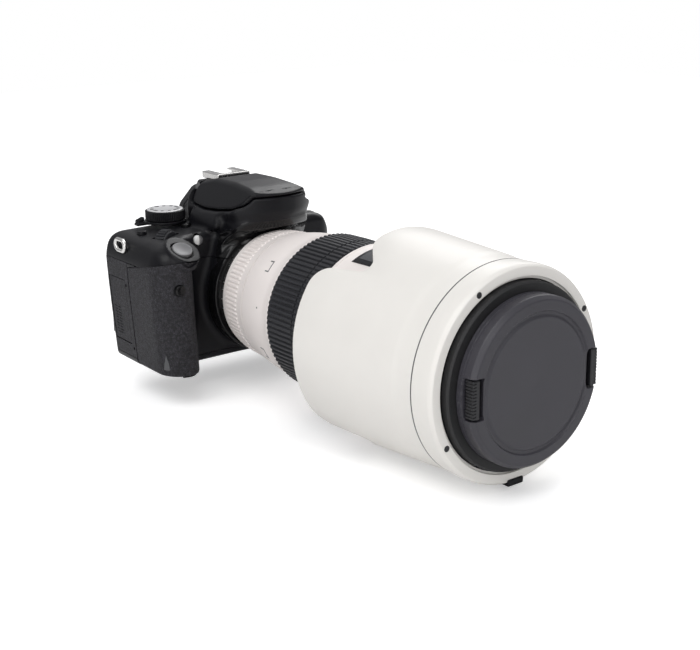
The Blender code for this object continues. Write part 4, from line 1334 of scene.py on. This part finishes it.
def hood_section(rear):
    """The hood's wall as a closed section of (radius, y), from its rear edge over the outside to the
    front rim and back along the inside."""
    end = hood_radius(rear)
    outside = [(end - 0.6, rear), (end - 0.12, rear - 0.45), (end, rear - 1.1)]
    for share in (0.33, 0.66, 0.97):
        y = rear + (HOOD_TAPER + 14 - rear) * share
        outside.append((hood_radius(y), y))
    step = [
        (hood_radius(CREASE) - 0.02, CREASE), (hood_radius(CREASE) - 0.25, CREASE - 1.4),
        (HOOD_R + 0.14, CREASE - 3.0), (HOOD_R + 0.04, CREASE - 5.0),
    ]
    seam = [
        (HOOD_R, HOOD_TAPER + 0.4), (HOOD_R - 0.4, HOOD_TAPER + 0.15), (HOOD_R - 0.4, HOOD_TAPER - 0.15),
        (HOOD_R, HOOD_TAPER - 0.4),
    ]
    nose = filleted([
        (HOOD_R, HOOD_TAPER - 0.6), (HOOD_R + 0.3, -234.0, 14), (HOOD_R + 0.1, -238.4, 3.0),
        (HOOD_R - 1.1, HOOD_FRONT, 0.9), (47.0, HOOD_FRONT),
    ], closed=False)[1:]
    lip = [
        (46.3, HOOD_FRONT), (46.1, HOOD_FRONT + 0.2), (46.0, HOOD_FRONT + 1.2), (45.0, HOOD_FRONT + 1.3),
        (44.9, -236.0), (44.9, -233.0), (HOOD_R - 3.2, -232.8),
    ]
    inside = []
    for share in (0.0, 0.33, 0.66, 1.0):
        y = HOOD_TAPER + (rear - 1.0 - HOOD_TAPER) * share
        inside.append((hood_radius(y) - HOOD_WALL, y))
    inside.append((end - HOOD_WALL + 0.5, rear))
    return outside + step + seam + nose + lip + inside


def hood():
    quarter = petal_edge()
    half = quarter + [(180 - a, y) for a, y in reversed(quarter[:-1])]
    edge = half + [(a + 180, y) for a, y in half[1:-1]]
    columns = []
    for angle, rear in edge:
        columns.append(np.array([lens(r, radians(angle), y) for r, y in hood_section(rear)]))
    rows = np.stack(columns, 1)

    def paint(x, y, z):
        away = lens_distance((x, y, z))
        # painted shade: the faces in the seam's groove take mark_grey, so the groove shows as a dark line
        seam = (away > HOOD_R - 0.5) & (away < HOOD_R - 0.1) & (np.abs(y - HOOD_TAPER) < 0.45)
        return np.where((away < 45.6) & (y > HOOD_FRONT + 1.25), 1, np.where(seam, 2, 0))

    put("hood_shell", rows.reshape(-1, 3), grid_faces(*rows.shape[:2]), "hood", crease=26,
        finish=["hood_white", "inner_plastic", "mark_grey"], paint=paint)
    head = [(0, -1.0), (1.5, -1.0), (1.5, 0.08), (1.25, 0.22), (0.7, 0.22), (0.6, 0.06), (0, 0.06)]
    for number, at in enumerate((30, 120, 210, 300)):
        place = about(lens(48.5, radians(at), HOOD_FRONT), (0, -1, 0))
        lathe(f"hood_screw_{number + 1}", head, "hood", 32, place, finish="plain_rubber", extra=True)
    dot = [(0, -0.6), (0.9, -0.6), (0.9, 0.25), (0.6, 0.35), (0, 0.35)]
    place = about(lens(HOOD_R - 0.15, pi, -235.0), (-1, 0, 0))
    lathe("hood_index", dot, "hood", 24, place, finish="mark_red", extra=True)


def hood_lock():
    low, high = span("hood_lock_button")

    def form(p):
        below = p[2] - low[2] - 1.5
        return engraved(block(p, low, high, 0.9), common(stripes(p[1], 1.6, 0.3), below), 0.4)

    sculpt("hood_lock_key", form, "hood_lock_button", 0.35, slot="body_black")


CAP = Outline([
    (0, -240.6), (37.8, -240.6), (37.8, -243.3), (39.8, -243.3, 0.2), (39.8, CAP_FACE + 2.2, 0.8),
    (38.0, CAP_FACE, 0.8), (33.2, CAP_FACE, 0.3), (32.6, CAP_FACE + 0.9), (31.2, CAP_FACE + 0.9),
    (30.2, CAP_FACE + 0.25, 0.4), (0, CAP_FACE + 1.0), (-8, CAP_FACE + 1.0), (-8, -240.6),
])


def lens_cap():
    def form(p):
        away = lens_distance(p)
        solid = CAP(away, p[1])
        for left, right in ((-60, -32), (32, 60)):
            pocket = block(p, (left, -265, AXIS_Z - 9.6), (right, -247.2, AXIS_Z + 9.6), 0.8)
            solid = carve(solid, pocket, 0.25)
        for level in (-244.6, -246.4):
            solid = carve(solid, np.hypot(away - 39.9, p[1] - level) - 0.3)
        return solid

    sculpt("lens_cap_disc", form, "lens_cap", 0.45)


def cap_lever(node):
    low, high = span(node)

    def form(p):
        solid = meet(block(p, low, high, 0.6), lens_distance(p) - 39.6, 0.5)
        return engraved(solid, common(stripes(p[2], 1.5, 0.3), 36.6 - np.abs(p[0])), 0.35)

    sculpt(f"{node}_key", form, node, 0.35, finish="plain_black")


# ---------------------------------------------------------------- small windows and the works inside


def dome(name, node, radius, shoulder, first=None, **more):
    """A small round window with a domed face, looking forwards."""
    low, high = span(node)
    half = (high[1] - low[1]) / 2
    side = [(0, -half), (radius, -half), (radius, half - shoulder, 0.3)]
    profile = filleted(side + [(radius * 2 / 3, half - 0.1, 2), (0, half)])
    lathe(name, profile, node, 48, about(centre_of(node), (0, -1, 0), first), **more)


def windows():
    middle = centre_of("lamp_lens")[0]
    dome("self_timer_lamp", "lamp_lens", 2.7, 0.6, (1, 0, 0), finish=["lamp_clear", "silver_plastic"],
         paint=lambda x, y, z: np.where(x > middle, 1, 0))
    dome("remote_sensor_window", "remote_window", 3.0, 0.4)


def inner_finishes():
    """The works inside keep their CAD meshes and get their own finishes."""
    kept = {
        "pentamirror": "gloss_black", "front_lens": "glass", "rear_lens": "glass", "eyepiece_lens": "glass",
        "image_sensor": "glass", "mirror_box": "inner_plastic", "shutter_unit": "inner_plastic",
        "main_board": "circuit_board", "battery": "battery_grey", "reflex_mirror": "mirror_glass",
    }
    for node, finish in kept.items():
        mesh = frame["nodes"][node].data
        mesh.materials.clear()
        mesh.materials.append(FINISH[finish])


photo_camera()
studio()
floor()
top_cover()
front_cover()
grip_skin()
rear_cover()
bottom_cover()
flash_head()
eye_rest()
thumb_rest()
card_door()
battery_door()
port_cover("port_cover_front")
port_cover("port_cover_rear")
screen()
hot_shoe()
strap_lug("strap_lug_grip_side")
strap_lug("strap_lug_port_side")
for pressed in PRESSED:
    if pressed not in ("hood_lock_button", "cap_lever_left", "cap_lever_right", "lens_cap"):
        button(pressed)
shutter_collar()
mode_dial()
power_lever()
main_dial()
dioptre()
cross_key()
mount_ring()
rear_barrel()
rubber_ring("zoom_grip", "zoom_ring", ZOOM_REAR, ZOOM_FRONT, 42.3, 96, -122.0)
main_barrel()
rubber_ring("focus_grip", "focus_ring", FOCUS_REAR, FOCUS_FRONT, 43.6, 108, -190.0)
distance_window()
index_dot("index_left", 171, -87.0, 1.0)
index_dot("index_dot", 122, -147.0, 0.8)
bracket("bracket_upper", 138, -87.0)
bracket("bracket_lower", -150, -87.0)
switch_panel()
hood()
hood_lock()
lens_cap()
cap_lever("cap_lever_left")
cap_lever("cap_lever_right")
windows()
inner_finishes()
